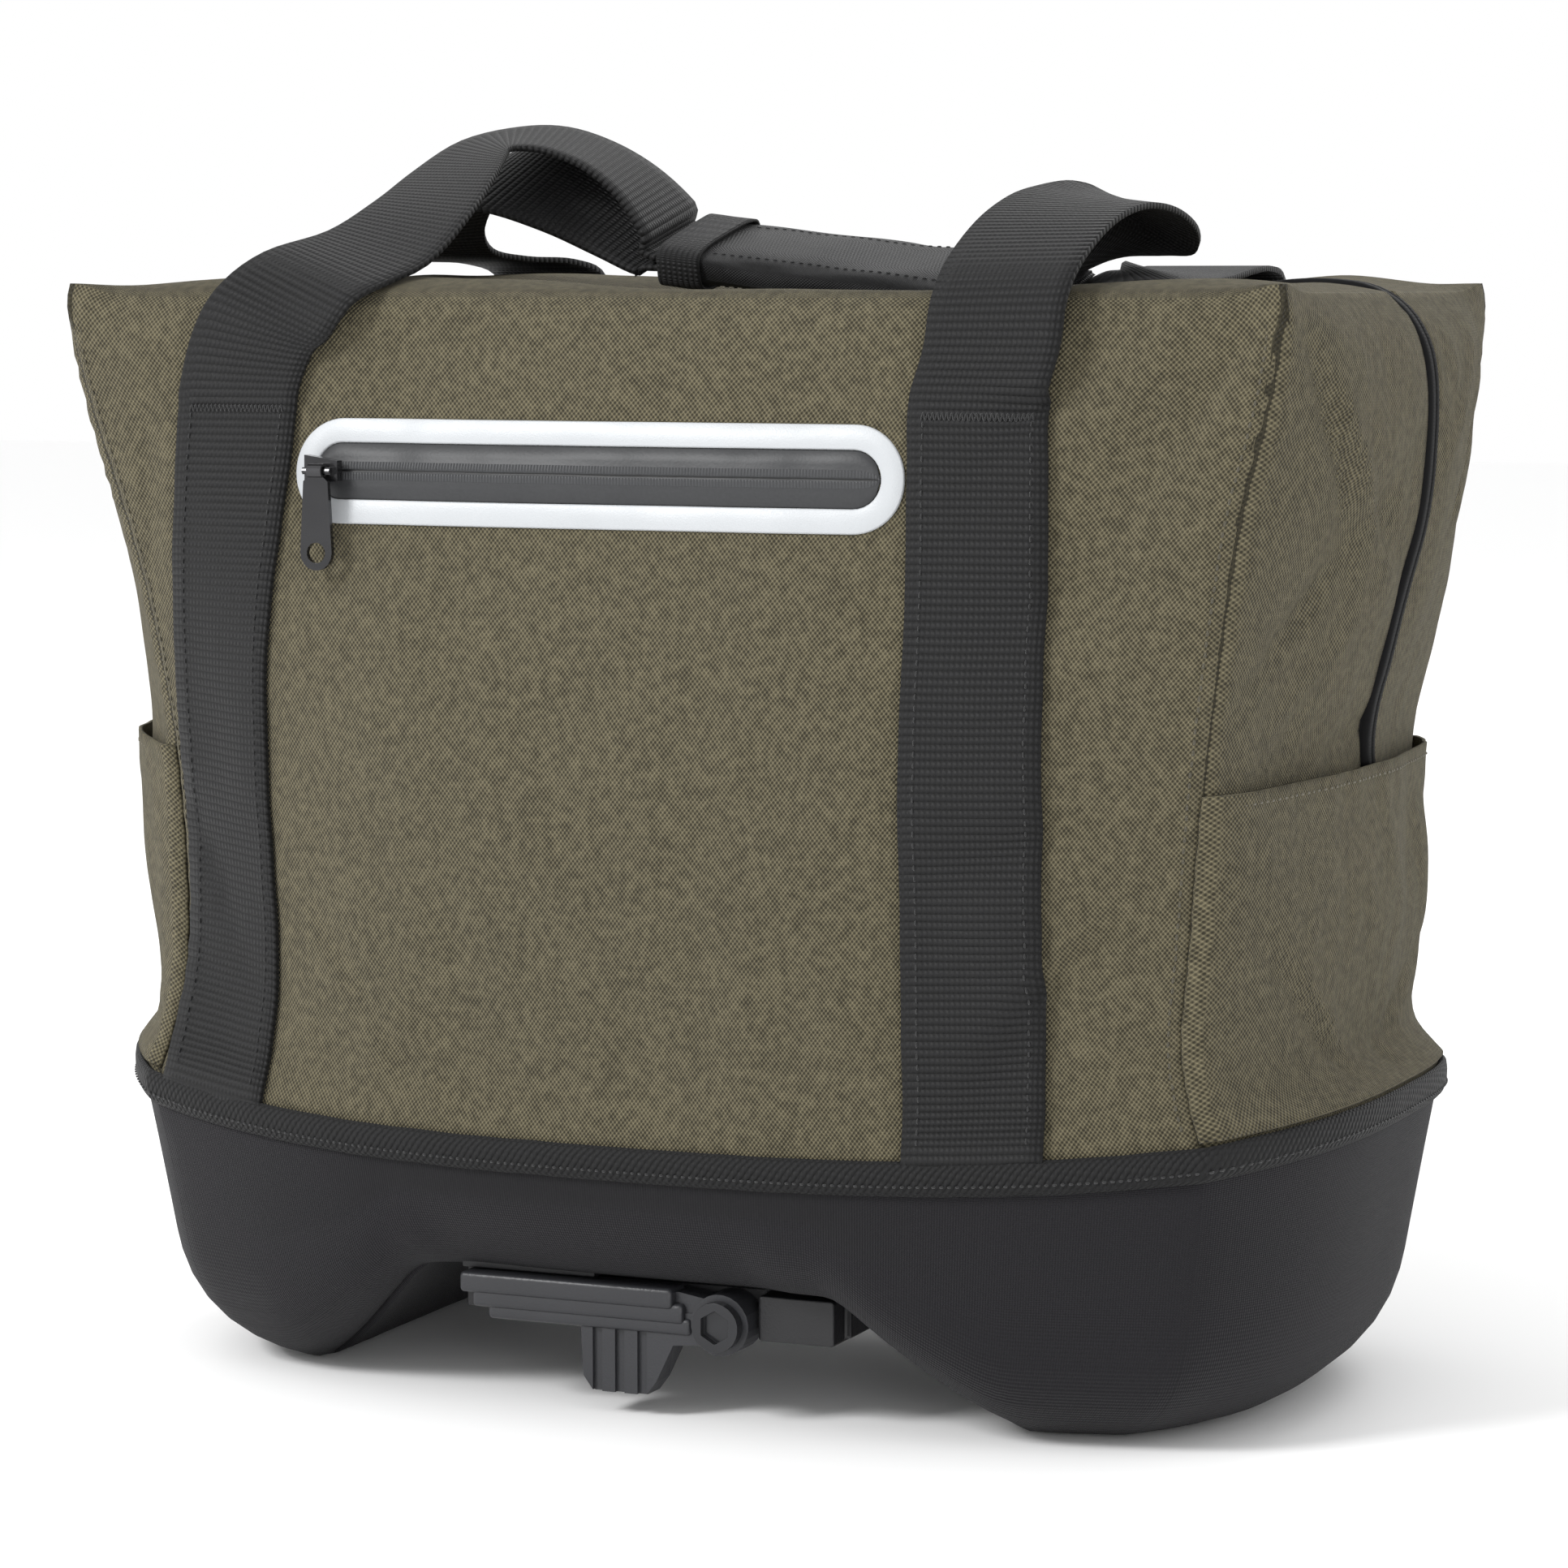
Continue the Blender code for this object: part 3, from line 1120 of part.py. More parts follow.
def main():
    clear_scene()
    parts = new_collection("bicycle_trunk_bag")
    cutters = new_collection("cutters")
    fabric_top(parts)
    base_shell(parts)
    rim_binding(parts)
    for side in ("left", "right"):
        end_pocket(side, parts)
    main_zip_tape(parts)
    main_zip_slider(parts)
    reflective_trim(parts)
    pocket_zip_tape(parts)
    pocket_zip_slider(parts, cutters)
    pocket_zip_pull(parts, cutters)
    handle("front_handle", "front", FRONT_LEFT_ARM, FRONT_RIGHT_ARM, GRIP_LAYER_GAP, parts)
    below = -GRIP_LAYER_GAP - WEBBING_THICKNESS
    handle("rear_handle", "back", REAR_LEFT_ARM, REAR_RIGHT_ARM, below, parts)
    hand_grip(parts)
    adapter_housing(parts, cutters)
    latch_lever(parts, cutters)
    lock_bolt(parts, cutters)


main()
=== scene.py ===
"""The looks of a bicycle trunk bag: sewn cloth, webbing, zips, a moulded base and a rack adapter.

Everything is in metres, with +Z up and the pocket side facing -Y, as in the frame that it is built around.
"""

import math
from collections import namedtuple

import bmesh
import bpy
from bpy.props import FloatProperty, FloatVectorProperty, PointerProperty
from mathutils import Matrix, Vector, noise


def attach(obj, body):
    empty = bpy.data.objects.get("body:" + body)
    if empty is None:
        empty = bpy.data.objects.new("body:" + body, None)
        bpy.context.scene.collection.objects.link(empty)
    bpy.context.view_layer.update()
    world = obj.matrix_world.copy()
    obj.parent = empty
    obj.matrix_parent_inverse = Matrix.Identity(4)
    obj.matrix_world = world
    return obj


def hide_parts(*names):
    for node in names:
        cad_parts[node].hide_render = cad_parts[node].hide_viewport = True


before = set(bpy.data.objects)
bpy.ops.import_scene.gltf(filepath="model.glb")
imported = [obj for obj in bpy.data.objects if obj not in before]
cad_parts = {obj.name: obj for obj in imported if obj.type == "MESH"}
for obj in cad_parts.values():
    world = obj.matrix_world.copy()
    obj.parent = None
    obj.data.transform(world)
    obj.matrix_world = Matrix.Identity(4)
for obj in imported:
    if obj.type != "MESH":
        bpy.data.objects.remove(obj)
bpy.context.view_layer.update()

bl_info = {
    "name": "Bicycle Trunk Bag",
    "version": (1, 0, 0),
    "blender": (4, 5, 0),
    "location": "3D View > Sidebar > Bag",
    "description": "Dresses the frame of a bicycle trunk bag with cloth, webbing, zips and moulded parts",
    "category": "Object",
}

# The bag's own sizes, as the frame has them
BAG_LENGTH = 0.368
BAG_DEPTH = 0.228
BASE_HEIGHT = 0.091
FABRIC_HEIGHT = 0.215
RIM_SAG = 0.012
TOP_Z = BASE_HEIGHT + FABRIC_HEIGHT
HALF_LENGTH = BAG_LENGTH / 2
HALF_DEPTH = BAG_DEPTH / 2
CLOTH_WALL = 0.0014
SHELL_WALL = 0.0030
BINDING_HEIGHT = 0.0095
HEM_GAP = 0.0012
WALL_FLARE = math.tan(math.radians(9.5))
ARCH_EDGE_RADIUS = 0.024
LOBE_EDGE_RADIUS = 0.038
ARCH_HEIGHT = 0.037
ARCH_MIDDLE = -0.010
ARCH_HALF_WIDTH = 0.064
ARCH_FOOT = 0.046
ARCH_STEEPNESS = 1.25
SCOOP_DEPTH = 0.005
SCOOP_MIDDLE = -0.014
SCOOP_HALF_WIDTH = 0.050
SCOOP_TOP = 0.058
ZIP_SLOT_HALF = 0.0035
POCKET_TOP = 0.414  # a share of the cloth's height, as SLOT_FOOT is
SLOT_FOOT = 0.384
SEAM_Y_TOP = 0.829

# Where the webbing, the grip and the pocket zip lie
WEBBING_HALF = 0.0185
WEBBING_THICKNESS = 0.0016
STRAP_SEAT = 0.0007
STRAP_FOOT_GAP = -0.0030
STRAP_X = (-0.121, 0.098)
STITCH_Z = BASE_HEIGHT + 0.187
STITCH_LENGTH = 0.0024
SEWN_ROWS = 12
ROWS_PER_STATION = 5
GRIP_X = (-0.030, 0.080)
GRIP_TILT = math.tan(math.radians(6.3))
GRIP_ROLL = math.radians(14)
GRIP_MIDDLE_Z = BASE_HEIGHT + 0.2208
GRIP_LEAD = 0.002
GRIP_LAYER_GAP = 0.0005
ARM_CLEARANCE = 0.0012
HANDLE_RISE = 0.040
TRIM_MIDDLE = (-0.0115, 0.2575)
TRIM_LENGTH = 0.180
TRIM_HEIGHT = 0.0285
TRIM_BAND = 0.0066
SLIDER_X = -0.0905

# The cloth's sections: shares of the height, of the half length and of the half depth
Section = namedtuple("Section", "height seam_x seam_y end_bulge face_bulge left_pinch left_swell")
SECTIONS = (
    Section(0.000, 0.853, 0.825, 0.147, 0.175, 0.050, 0.015),
    Section(0.056, 0.837, 0.825, 0.102, 0.170, 0.075, 0.035),
    Section(0.121, 0.826, 0.825, 0.117, 0.175, 0.110, 0.055),
    Section(0.233, 0.837, 0.829, 0.117, 0.190, 0.160, 0.080),
    Section(0.423, 0.856, 0.838, 0.071, 0.195, 0.170, 0.090),
    Section(0.521, 0.870, 0.842, 0.082, 0.180, 0.150, 0.060),
    Section(0.628, 0.886, 0.842, 0.106, 0.150, 0.110, 0.030),
    Section(0.744, 0.908, 0.842, 0.117, 0.115, 0.050, 0.012),
    Section(0.847, 0.940, 0.842, 0.092, 0.085, 0.018, 0.008),
    Section(0.921, 0.959, 0.846, 0.065, 0.066, 0.004, 0.004),
    Section(0.967, 0.962, 0.842, 0.040, 0.050, 0.000, 0.000),
    Section(1.000, 0.954, 0.829, 0.008, 0.022, 0.000, 0.000),
)
MEAN_SEAM_X = 0.86
MEAN_SEAM_Y = 0.84

# Powers that shape the bulge of the faces, the drawn-in corner and the bulge of the ends
FACE_ROUND = 2.4
PINCH_ROUND = 4.0
END_ROUND = 2.8

Crest = namedtuple("Crest", "place rise")
CREST = (
    Crest(-1.00, 0.010),
    Crest(-0.68, 0.036),
    Crest(-0.45, 0.036),
    Crest(-0.20, 0.026),
    Crest(0.03, 0.015),
    Crest(0.50, 0.013),
    Crest(0.66, 0.022),
    Crest(0.80, 0.028),
    Crest(1.00, 0.018),
)
LidDent = namedtuple("LidDent", "x y half_x half_y depth")
LID_DENTS = (
    LidDent(0.20, 0.0, 0.50, 0.50, 0.085),
    LidDent(-0.50, 0.0, 0.40, 0.60, 0.030),
)

# Dents and folds of the walls. across and up are shares of the half width and of the height, the two half
# sizes are shares of the cloth's height, and depth is in metres, inwards if negative. FOLDS are in the solid
# part too, and FINE_FOLDS are the smaller ones over them.
Fold = namedtuple("Fold", "face across up slope_deg half_length half_width depth")
FOLDS = (
    Fold("front", -0.30, 0.93, 0, 0.32, 0.10, -0.00342),
    Fold("front", 0.86, 0.86, 62, 0.26, 0.07, -0.00342),
    Fold("front", 0.80, 0.16, 35, 0.20, 0.06, -0.00205),
    Fold("front", -0.88, 0.22, 80, 0.30, 0.16, -0.00456),
    Fold("right", -0.45, 0.70, 25, 0.24, 0.07, -0.00319),
    Fold("right", 0.35, 0.25, 60, 0.20, 0.07, -0.00205),
    Fold("left", 0.20, 0.60, -40, 0.26, 0.08, -0.00296),
    Fold("left", -0.40, 0.20, 30, 0.20, 0.07, -0.00205),
    Fold("back", 0.20, 0.60, 55, 0.32, 0.09, -0.00251),
)
FINE_FOLDS = (
    Fold("front", 0.93, 0.94, 64, 0.15, 0.018, -0.0030),
    Fold("front", 0.84, 0.95, 58, 0.16, 0.024, 0.0022),
    Fold("front", 0.72, 0.93, 48, 0.16, 0.022, -0.0016),
    Fold("front", 0.84, 0.66, 4, 0.12, 0.020, -0.0016),
    Fold("front", 0.86, 0.60, 12, 0.11, 0.016, 0.0012),
    Fold("front", 0.80, 0.40, 20, 0.16, 0.024, -0.0012),
    Fold("front", 0.82, 0.24, 38, 0.15, 0.018, -0.0022),
    Fold("front", 0.74, 0.20, 44, 0.14, 0.020, 0.0018),
    Fold("front", 0.90, 0.10, 22, 0.11, 0.014, -0.0018),
    Fold("front", -0.52, 0.16, -46, 0.13, 0.018, -0.0022),
    Fold("front", -0.45, 0.11, -38, 0.13, 0.018, 0.0018),
    Fold("front", -0.38, 0.07, -30, 0.10, 0.014, -0.0012),
    Fold("front", -0.92, 0.74, 70, 0.14, 0.020, -0.0018),
    Fold("front", -0.94, 0.46, 80, 0.16, 0.022, 0.0016),
    Fold("front", -0.90, 0.30, -60, 0.16, 0.022, -0.0018),
    Fold("front", 0.10, 0.80, 4, 0.40, 0.045, 0.0014),
    Fold("front", 0.20, 0.30, 20, 0.34, 0.060, 0.0014),
    Fold("right", -0.76, 0.86, -52, 0.17, 0.020, -0.0034),
    Fold("right", -0.58, 0.80, -40, 0.17, 0.024, 0.0026),
    Fold("right", -0.36, 0.74, -30, 0.16, 0.024, -0.0016),
    Fold("right", -0.72, 0.60, 40, 0.14, 0.020, -0.0022),
    Fold("right", -0.60, 0.52, 34, 0.12, 0.018, 0.0014),
    Fold("right", 0.55, 0.80, 52, 0.16, 0.022, -0.0024),
    Fold("right", 0.36, 0.88, 40, 0.14, 0.020, 0.0018),
    Fold("right", -0.62, 0.16, -36, 0.16, 0.018, -0.0024),
    Fold("right", -0.46, 0.12, -30, 0.14, 0.018, 0.0018),
    Fold("right", 0.30, 0.10, 22, 0.18, 0.020, -0.0020),
    Fold("right", -0.10, 0.46, 6, 0.26, 0.020, -0.0014),
    Fold("left", 0.62, 0.82, 50, 0.16, 0.022, -0.0028),
    Fold("left", -0.52, 0.72, -36, 0.18, 0.024, -0.0024),
    Fold("left", 0.10, 0.12, 18, 0.20, 0.020, -0.0020),
    Fold("left", 0.10, 0.46, -6, 0.26, 0.020, -0.0016),
    Fold("back", -0.84, 0.88, -60, 0.20, 0.022, -0.0026),
    Fold("back", -0.74, 0.90, -50, 0.16, 0.022, 0.0018),
    Fold("back", 0.84, 0.18, 34, 0.14, 0.018, -0.0020),
    Fold("back", -0.70, 0.12, -38, 0.14, 0.018, -0.0020),
    Fold("back", 0.50, 0.86, 20, 0.22, 0.030, -0.0018),
    Fold("back", -0.10, 0.34, -18, 0.30, 0.050, 0.0016),
)

# Soft unevenness of the walls and of the lid, each as a broad and a fine height
WALL_RIPPLES = (0.0019, 0.0008)
LID_RIPPLES = (0.0016, 0.0007)
NOISE_PLACES = {"front": 1.0, "back": 4.0, "left": 7.0, "right": 11.0}

# The corner seams: their groove, puckers, stitches and a dark line of painted shade in their crease, and the
# offsets that keep the ends and the lid apart from the faces in the cloth's UV map
END_UV_OFFSET = 1.0
LID_UV_OFFSET = 1.0
LID_UV_SHRINK = 0.99
PUCKER_LENGTH = 0.0085
PUCKER_DEPTH = 0.00035
PUCKER_AWAY = 0.006
PUCKER_REACH = 0.007
SEAM_GROOVE_DEPTH = 0.0030
SEAM_GROOVE_HALF = 0.0020
SEAM_STITCH_INSET = 0.0046
# Width and strength of the painted shade along the seams' crease
SEAM_SHADE_WIDTH = 0.0018
SEAM_SHADE_STRENGTH = 0.80
SEAM_CROWDING = 1.6

# The lid's seam, which is relaxed, and its four corners, which stand up a little
LID_EDGE_X = 0.172
LID_EDGE_Y = 0.095
CORNER_X = 0.1755
CORNER_Y = 0.0945
CORNER_REACH = 0.012
CORNER_LIFT = 0.0028

# How far the front handle's left foot leans sideways, by shares of the sewn stretch from its foot up
Lean = namedtuple("Lean", "up shift")
LEFT_LEAN = (
    Lean(0.00, -0.0112),
    Lean(0.09, -0.0095),
    Lean(0.20, -0.0072),
    Lean(0.33, -0.0078),
    Lean(0.50, -0.0086),
    Lean(0.68, -0.0066),
    Lean(0.83, -0.0024),
    Lean(0.92, -0.0004),
    Lean(1.00, 0.0010),
)

# The handles' free arms, as the frame has them
Arm = namedtuple("Arm", "along toward rise across_x across_y across_z")
FRONT_LEFT_ARM = (
    Arm(0.06, -0.01, -0.35, 0.98, 0.00, -0.16),
    Arm(0.13, -0.01, -0.15, 0.92, -0.03, -0.36),
    Arm(0.24, 0.02, 0.09, 0.90, -0.25, -0.32),
    Arm(0.35, 0.22, 0.28, 0.93, -0.22, -0.22),
    Arm(0.39, 0.43, 0.56, 0.95, -0.28, -0.08),
    Arm(0.38, 0.64, 0.80, 0.90, -0.40, -0.02),
    Arm(0.38, 0.83, 0.99, 0.72, -0.68, -0.12),
    Arm(0.43, 0.95, 1.07, 0.38, -0.91, -0.18),
    Arm(0.54, 1.00, 1.06, 0.25, -0.95, -0.20),
    Arm(0.68, 1.01, 0.95, 0.18, -0.96, -0.20),
    Arm(0.81, 1.01, 0.76, 0.10, -0.97, -0.22),
    Arm(0.92, 1.00, 0.51, 0.00, -0.97, -0.24),
)
REAR_LEFT_ARM = (
    Arm(0.00, -0.01, -0.35, 1.00, 0.00, 0.00),
    Arm(0.00, 0.03, 0.08, 1.00, 0.00, 0.00),
    Arm(-0.04, 0.17, 0.20, 1.00, 0.00, 0.00),
    Arm(-0.11, 0.36, 0.22, 1.00, 0.00, 0.00),
    Arm(-0.15, 0.54, 0.27, 0.99, -0.08, 0.02),
    Arm(-0.10, 0.70, 0.42, 0.94, -0.25, 0.10),
    Arm(0.05, 0.85, 0.62, 0.78, -0.50, 0.26),
    Arm(0.22, 0.95, 0.80, 0.50, -0.68, 0.44),
    Arm(0.41, 1.00, 0.80, 0.28, -0.80, 0.50),
    Arm(0.61, 1.01, 0.65, 0.16, -0.84, 0.48),
    Arm(0.78, 1.01, 0.44, 0.08, -0.89, 0.40),
    Arm(0.91, 1.00, 0.24, 0.00, -0.96, 0.28),
)
FRONT_RIGHT_ARM = (
    Arm(-0.22, -0.01, -0.35, 1.00, 0.00, 0.00),
    Arm(-0.30, 0.00, -0.06, 1.00, 0.00, 0.02),
    Arm(-0.38, 0.07, 0.18, 1.00, 0.03, 0.02),
    Arm(-0.46, 0.25, 0.43, 0.99, 0.08, 0.00),
    Arm(-0.54, 0.45, 0.57, 0.97, 0.14, -0.06),
    Arm(-0.62, 0.64, 0.60, 0.92, 0.28, -0.16),
    Arm(-0.68, 0.82, 0.56, 0.78, 0.48, -0.32),
    Arm(-0.62, 0.96, 0.45, 0.48, 0.74, -0.40),
    Arm(-0.25, 1.03, 0.33, 0.20, 0.95, -0.18),
    Arm(0.30, 1.02, 0.19, 0.05, 0.99, 0.10),
    Arm(0.75, 1.00, 0.06, 0.00, 0.97, 0.22),
)
REAR_RIGHT_ARM = (
    Arm(-0.03, -0.01, -0.35, 1.00, 0.00, 0.00),
    Arm(-0.03, 0.03, 0.06, 1.00, 0.00, 0.00),
    Arm(-0.06, 0.17, 0.14, 1.00, 0.00, 0.00),
    Arm(-0.12, 0.36, 0.12, 1.00, 0.05, 0.00),
    Arm(-0.22, 0.54, 0.10, 0.97, 0.18, -0.05),
    Arm(-0.34, 0.72, 0.10, 0.88, 0.42, -0.12),
    Arm(-0.40, 0.88, 0.10, 0.68, 0.70, -0.16),
    Arm(-0.15, 0.99, 0.07, 0.34, 0.93, -0.10),
    Arm(0.30, 1.02, 0.02, 0.10, 0.99, -0.18),
    Arm(0.72, 1.00, -0.06, 0.00, 0.97, -0.24),
)

# The cloth's weave: how high it stands, and how rough it is
CLOTH_RELIEF = 0.00030
CLOTH_ROUGHNESS = 0.85

# Sections of the front pocket's film and zip from edge to edge: a share across, and a lift off the cloth.
# The film's share runs from its outer to its inner edge, and the zip's from its lower to its upper edge.
Edge = namedtuple("Edge", "share lift")
FILM_SECTION = (
    Edge(0.00, 0.0002),
    Edge(0.02, 0.0007),
    Edge(0.07, 0.0009),
    Edge(0.50, 0.0009),
    Edge(0.93, 0.0009),
    Edge(0.98, 0.0007),
    Edge(1.00, 0.0003),
)
ZIP_HALF_SECTION = (
    Edge(0.04, 0.0011),
    Edge(0.14, 0.0012),
    Edge(0.32, 0.0010),
    Edge(0.50, 0.0009),
    Edge(0.94, 0.0008),
    Edge(1.00, 0.0003),
)
ZIP_SECTION = (
    *(Edge(-share, lift) for share, lift in reversed(ZIP_HALF_SECTION)),
    Edge(0.00, 0.0008),
    *ZIP_HALF_SECTION,
)

# The main zip's section from side to side: how far sideways, and how far out from the cloth's face
Rib = namedtuple("Rib", "sideways out")
MAIN_ZIP_HALF = (
    Rib(0.0004, 0.0014),
    Rib(0.0034, 0.0013),
    Rib(0.0043, 0.0008),
    Rib(0.0045, -0.0004),
    Rib(0.0048, -0.0024),
    Rib(0.0095, -0.0026),
)
MAIN_ZIP_LENGTH = 0.62
MAIN_ZIP_SECTION = (
    *(Rib(-sideways, out) for sideways, out in reversed(MAIN_ZIP_HALF)),
    Rib(0.0, 0.0009),
    *MAIN_ZIP_HALF,
)

# The binding's section: how far down from its top edge, and how far out
Tape = namedtuple("Tape", "down out")
BINDING_SECTION = (
    Tape(0.0006, 0.0003),
    Tape(0.0000, 0.0014),
    Tape(0.0008, 0.0023),
    Tape(0.0030, 0.0026),
    Tape(0.0060, 0.0027),
    Tape(0.0084, 0.0024),
    Tape(0.0095, 0.0015),
    Tape(0.0090, 0.0003),
)

# Colours of the hard parts and of the front pocket's zip
ZIP_COLOUR = (0.030, 0.031, 0.033)
METAL_COLOUR = (0.030, 0.030, 0.032)
HOUSING_COLOUR = (0.0085, 0.0085, 0.0098)
LEVER_COLOUR = (0.020, 0.0205, 0.0235)
BOLT_COLOUR = (0.014, 0.0145, 0.017)

# Corners of the lever's three long steps and of the thin plate above it
LEVER_STEPS = (
    ((-0.0580, -0.0928, 0.0316), (0.0050, -0.0840, 0.0360)),
    ((-0.0545, -0.0920, 0.0276), (0.0080, -0.0840, 0.0318)),
    ((-0.0500, -0.0912, 0.0244), (0.0100, -0.0840, 0.0278)),
)
HOUSING_PLATE = ((-0.0600, -0.0880, 0.0372), (-0.0200, -0.0700, 0.0396))

# The studio: square lights that look at the bag's middle, a pale floor and a white world
Light = namedtuple("Light", "name place size power")
LIGHTS = (
    Light("key", (-1.2, -1.9, 1.7), 0.7, 54),
    Light("side", (2.1, -0.3, 1.2), 1.0, 3),
    Light("back", (0.4, 2.2, 1.8), 1.2, 16),
    Light("low_front", (1.5, -2.2, 0.5), 1.0, 12),
)
LIGHTS_LOOK_AT = (0, 0, 0.17)
FLOOR_SIZE = 14
FLOOR_DROP = 0.0004
FLOOR_TONE = 0.97

# The camera stands where the photograph was taken from
CAMERA_PLACE = (0.549, -1.301, 0.309)
CAMERA_YAW_DEG = 22.9
CAMERA_TILT_DEG = 84.2
CAMERA_LENS = 113.8
CAMERA_SENSOR = 36


def colour_field(name, description, default):
    return FloatVectorProperty(name=name, description=description, subtype="COLOR", default=default)


def length_field(name, description, default):
    return FloatProperty(name=name, description=description, unit="LENGTH", default=default)


class BagLooks(bpy.types.PropertyGroup):
    cloth_colour: colour_field("Cloth", "Colour of the olive cloth", (0.096, 0.084, 0.052))
    webbing_colour: colour_field("Webbing", "Colour of the handles", (0.0056, 0.0056, 0.0060))
    base_colour: colour_field("Base", "Colour of the base's cloth", (0.0074, 0.0068, 0.0090))
    film_colour: colour_field("Film", "Colour of the reflective oval", (0.40, 0.415, 0.43))
    cell: length_field("Cell", "Size of the cloth's mesh", 0.0030)
    weave: length_field("Weave", "Width of a yarn of the cloth", 0.0007)
    rib: length_field("Rib", "Spacing of the webbing's ribs", 0.0021)


def looks():
    """The settings of the panel in the sidebar."""
    return bpy.context.scene.bag_looks


def ease(low, high, place):
    """A smooth step from 0 at low to 1 at high, which may also be the smaller."""
    share = min(max((place - low) / (high - low), 0.0), 1.0)
    return share * share * (3 - 2 * share)


def read_table(table, key, column, place):
    """Reads a column of a table between two of its rows, as a smooth curve through the rows."""
    keys = [getattr(row, key) for row in table]
    values = [getattr(row, column) for row in table]
    place = min(max(place, keys[0]), keys[-1])
    index = max(i for i in range(len(keys) - 1) if keys[i] <= place)
    slopes = []
    for i in (index, index + 1):
        before, after = max(i - 1, 0), min(i + 1, len(keys) - 1)
        slopes.append((values[after] - values[before]) / (keys[after] - keys[before]))
    span = keys[index + 1] - keys[index]
    t = (place - keys[index]) / span
    start, end = values[index], values[index + 1]
    return (
        start * (2 * t**3 - 3 * t**2 + 1)
        + slopes[0] * span * (t**3 - 2 * t**2 + t)
        + end * (3 * t**2 - 2 * t**3)
        + slopes[1] * span * (t**3 - t**2)
    )


SECTION_CACHE = {}
LENGTHWISE_COLUMNS = ("seam_x", "end_bulge", "left_swell")


def section(height):
    """The six measures of the cloth's section at a height, in metres and in the table's order."""
    key = round(height, 5)
    if key not in SECTION_CACHE:
        measures = []
        for column in Section._fields[1:]:
            half = HALF_LENGTH if column in LENGTHWISE_COLUMNS else HALF_DEPTH
            measures.append(read_table(SECTIONS, "height", column, height) * half)
        SECTION_CACHE[key] = measures
    return SECTION_CACHE[key]


def rim_z(x):
    """Height of the seam between the cloth and the base, lowest at the middle."""
    return BASE_HEIGHT - RIM_SAG * (1 - min(abs(x) / HALF_LENGTH, 1.0) ** 3)


def fold_depth(folds, face, across, height):
    """How far a list of folds moves the wall, outwards if positive."""
    half_width = HALF_DEPTH if face in ("left", "right") else HALF_LENGTH
    moved = 0.0
    for fold in folds:
        if fold.face != face:
            continue
        sideways = (across - fold.across) * half_width / FABRIC_HEIGHT
        upwards = height - fold.up
        slope = math.radians(fold.slope_deg)
        lengthwise = sideways * math.cos(slope) + upwards * math.sin(slope)
        crosswise = -sideways * math.sin(slope) + upwards * math.cos(slope)
        moved += fold.depth * math.exp(
            -((lengthwise / fold.half_length) ** 2) - (crosswise / fold.half_width) ** 2
        )
    return moved


def seam_shape(face, across, height):
    """The groove and the puckers where a panel meets a corner seam."""
    half_width = section(height)[1] if face in ("left", "right") else section(height)[0]
    away = (1 - abs(across)) * half_width
    along = height * FABRIC_HEIGHT
    groove = -SEAM_GROOVE_DEPTH * math.exp(-((away / SEAM_GROOVE_HALF) ** 2))
    wander = noise.noise(Vector((along * 60, across, 3.0 if face == "front" else 7.0)))
    pucker = PUCKER_DEPTH * math.sin(2 * math.pi * along / PUCKER_LENGTH + 4 * wander)
    reach = math.exp(-((away - PUCKER_AWAY) ** 2) / PUCKER_REACH**2)
    return (groove + pucker * reach) * ease(1.0, 0.93, height)


def wall_point(face, across, height, fine=True):
    """A point of the cloth's outside. across runs from -1 to 1 from seam to seam, towards +X or +Y."""
    seam_x, seam_y, end_bulge, face_bulge, pinch, swell = section(height)
    held = (1 - abs(across) ** 6) * ease(0.0, 0.06, height)
    moved = fold_depth(FOLDS, face, across, height) * held * (1 - ease(0.93, 1.0, height))
    if fine:
        spot = Vector((across * 2.2, height * 2.4, NOISE_PLACES[face]))
        ripple = WALL_RIPPLES[0] * noise.noise(spot * 1.7) + WALL_RIPPLES[1] * noise.noise(spot * 5.0)
        held = (1 - abs(across) ** 10) * ease(0.0, 0.05, height) * (1 - 0.6 * ease(0.93, 1.0, height))
        moved += (fold_depth(FINE_FOLDS, face, across, height) + ripple) * held
        moved += seam_shape(face, across, height)
    if face in ("front", "back"):
        x = seam_x * across
        y = seam_y + face_bulge * (1 - abs(across) ** FACE_ROUND) + moved
        y = pinch * max(-across, 0.0) ** PINCH_ROUND - y if face == "front" else y
    else:
        if face == "left":
            end_bulge += swell
        x = seam_x + end_bulge * (1 - abs(across) ** END_ROUND) + moved
        y = seam_y * across
        if face == "left":
            x = -x
            y += pinch * max(-across, 0.0)
    return Vector((x, y, rim_z(x) + height * (TOP_Z - rim_z(x))))


def lid_point(along, across, fine=True):
    """A point of the lid's outside."""
    edge_x = wall_point("right" if along > 0 else "left", across, 1.0, fine).x
    edge_y = wall_point("back" if across > 0 else "front", along, 1.0, fine).y
    x, y = abs(along) * edge_x, abs(across) * edge_y
    rise = read_table(CREST, "place", "rise", x / HALF_LENGTH) * FABRIC_HEIGHT
    dent = 0.0
    for each in LID_DENTS:
        away_x = (x / HALF_LENGTH - each.x) / each.half_x
        away_y = (y / HALF_DEPTH - each.y) / each.half_y
        dent += each.depth * FABRIC_HEIGHT * math.exp(-(away_x**2 + away_y**2))
    if fine:
        spot = Vector((x * 16, y * 20, 5.0))
        dent += LID_RIPPLES[0] * noise.noise(spot) + LID_RIPPLES[1] * noise.noise(spot * 3.1)
    inside = (1 - abs(along) ** 14) * (1 - abs(across) ** 9)
    return Vector((x, y, TOP_Z + (rise - dent) * inside))


def face_point(x, z, face="front"):
    """The point of the front or back wall at this X and Z."""
    height = (z - rim_z(x)) / (TOP_Z - rim_z(x))
    return wall_point(face, x / section(height)[0], height)


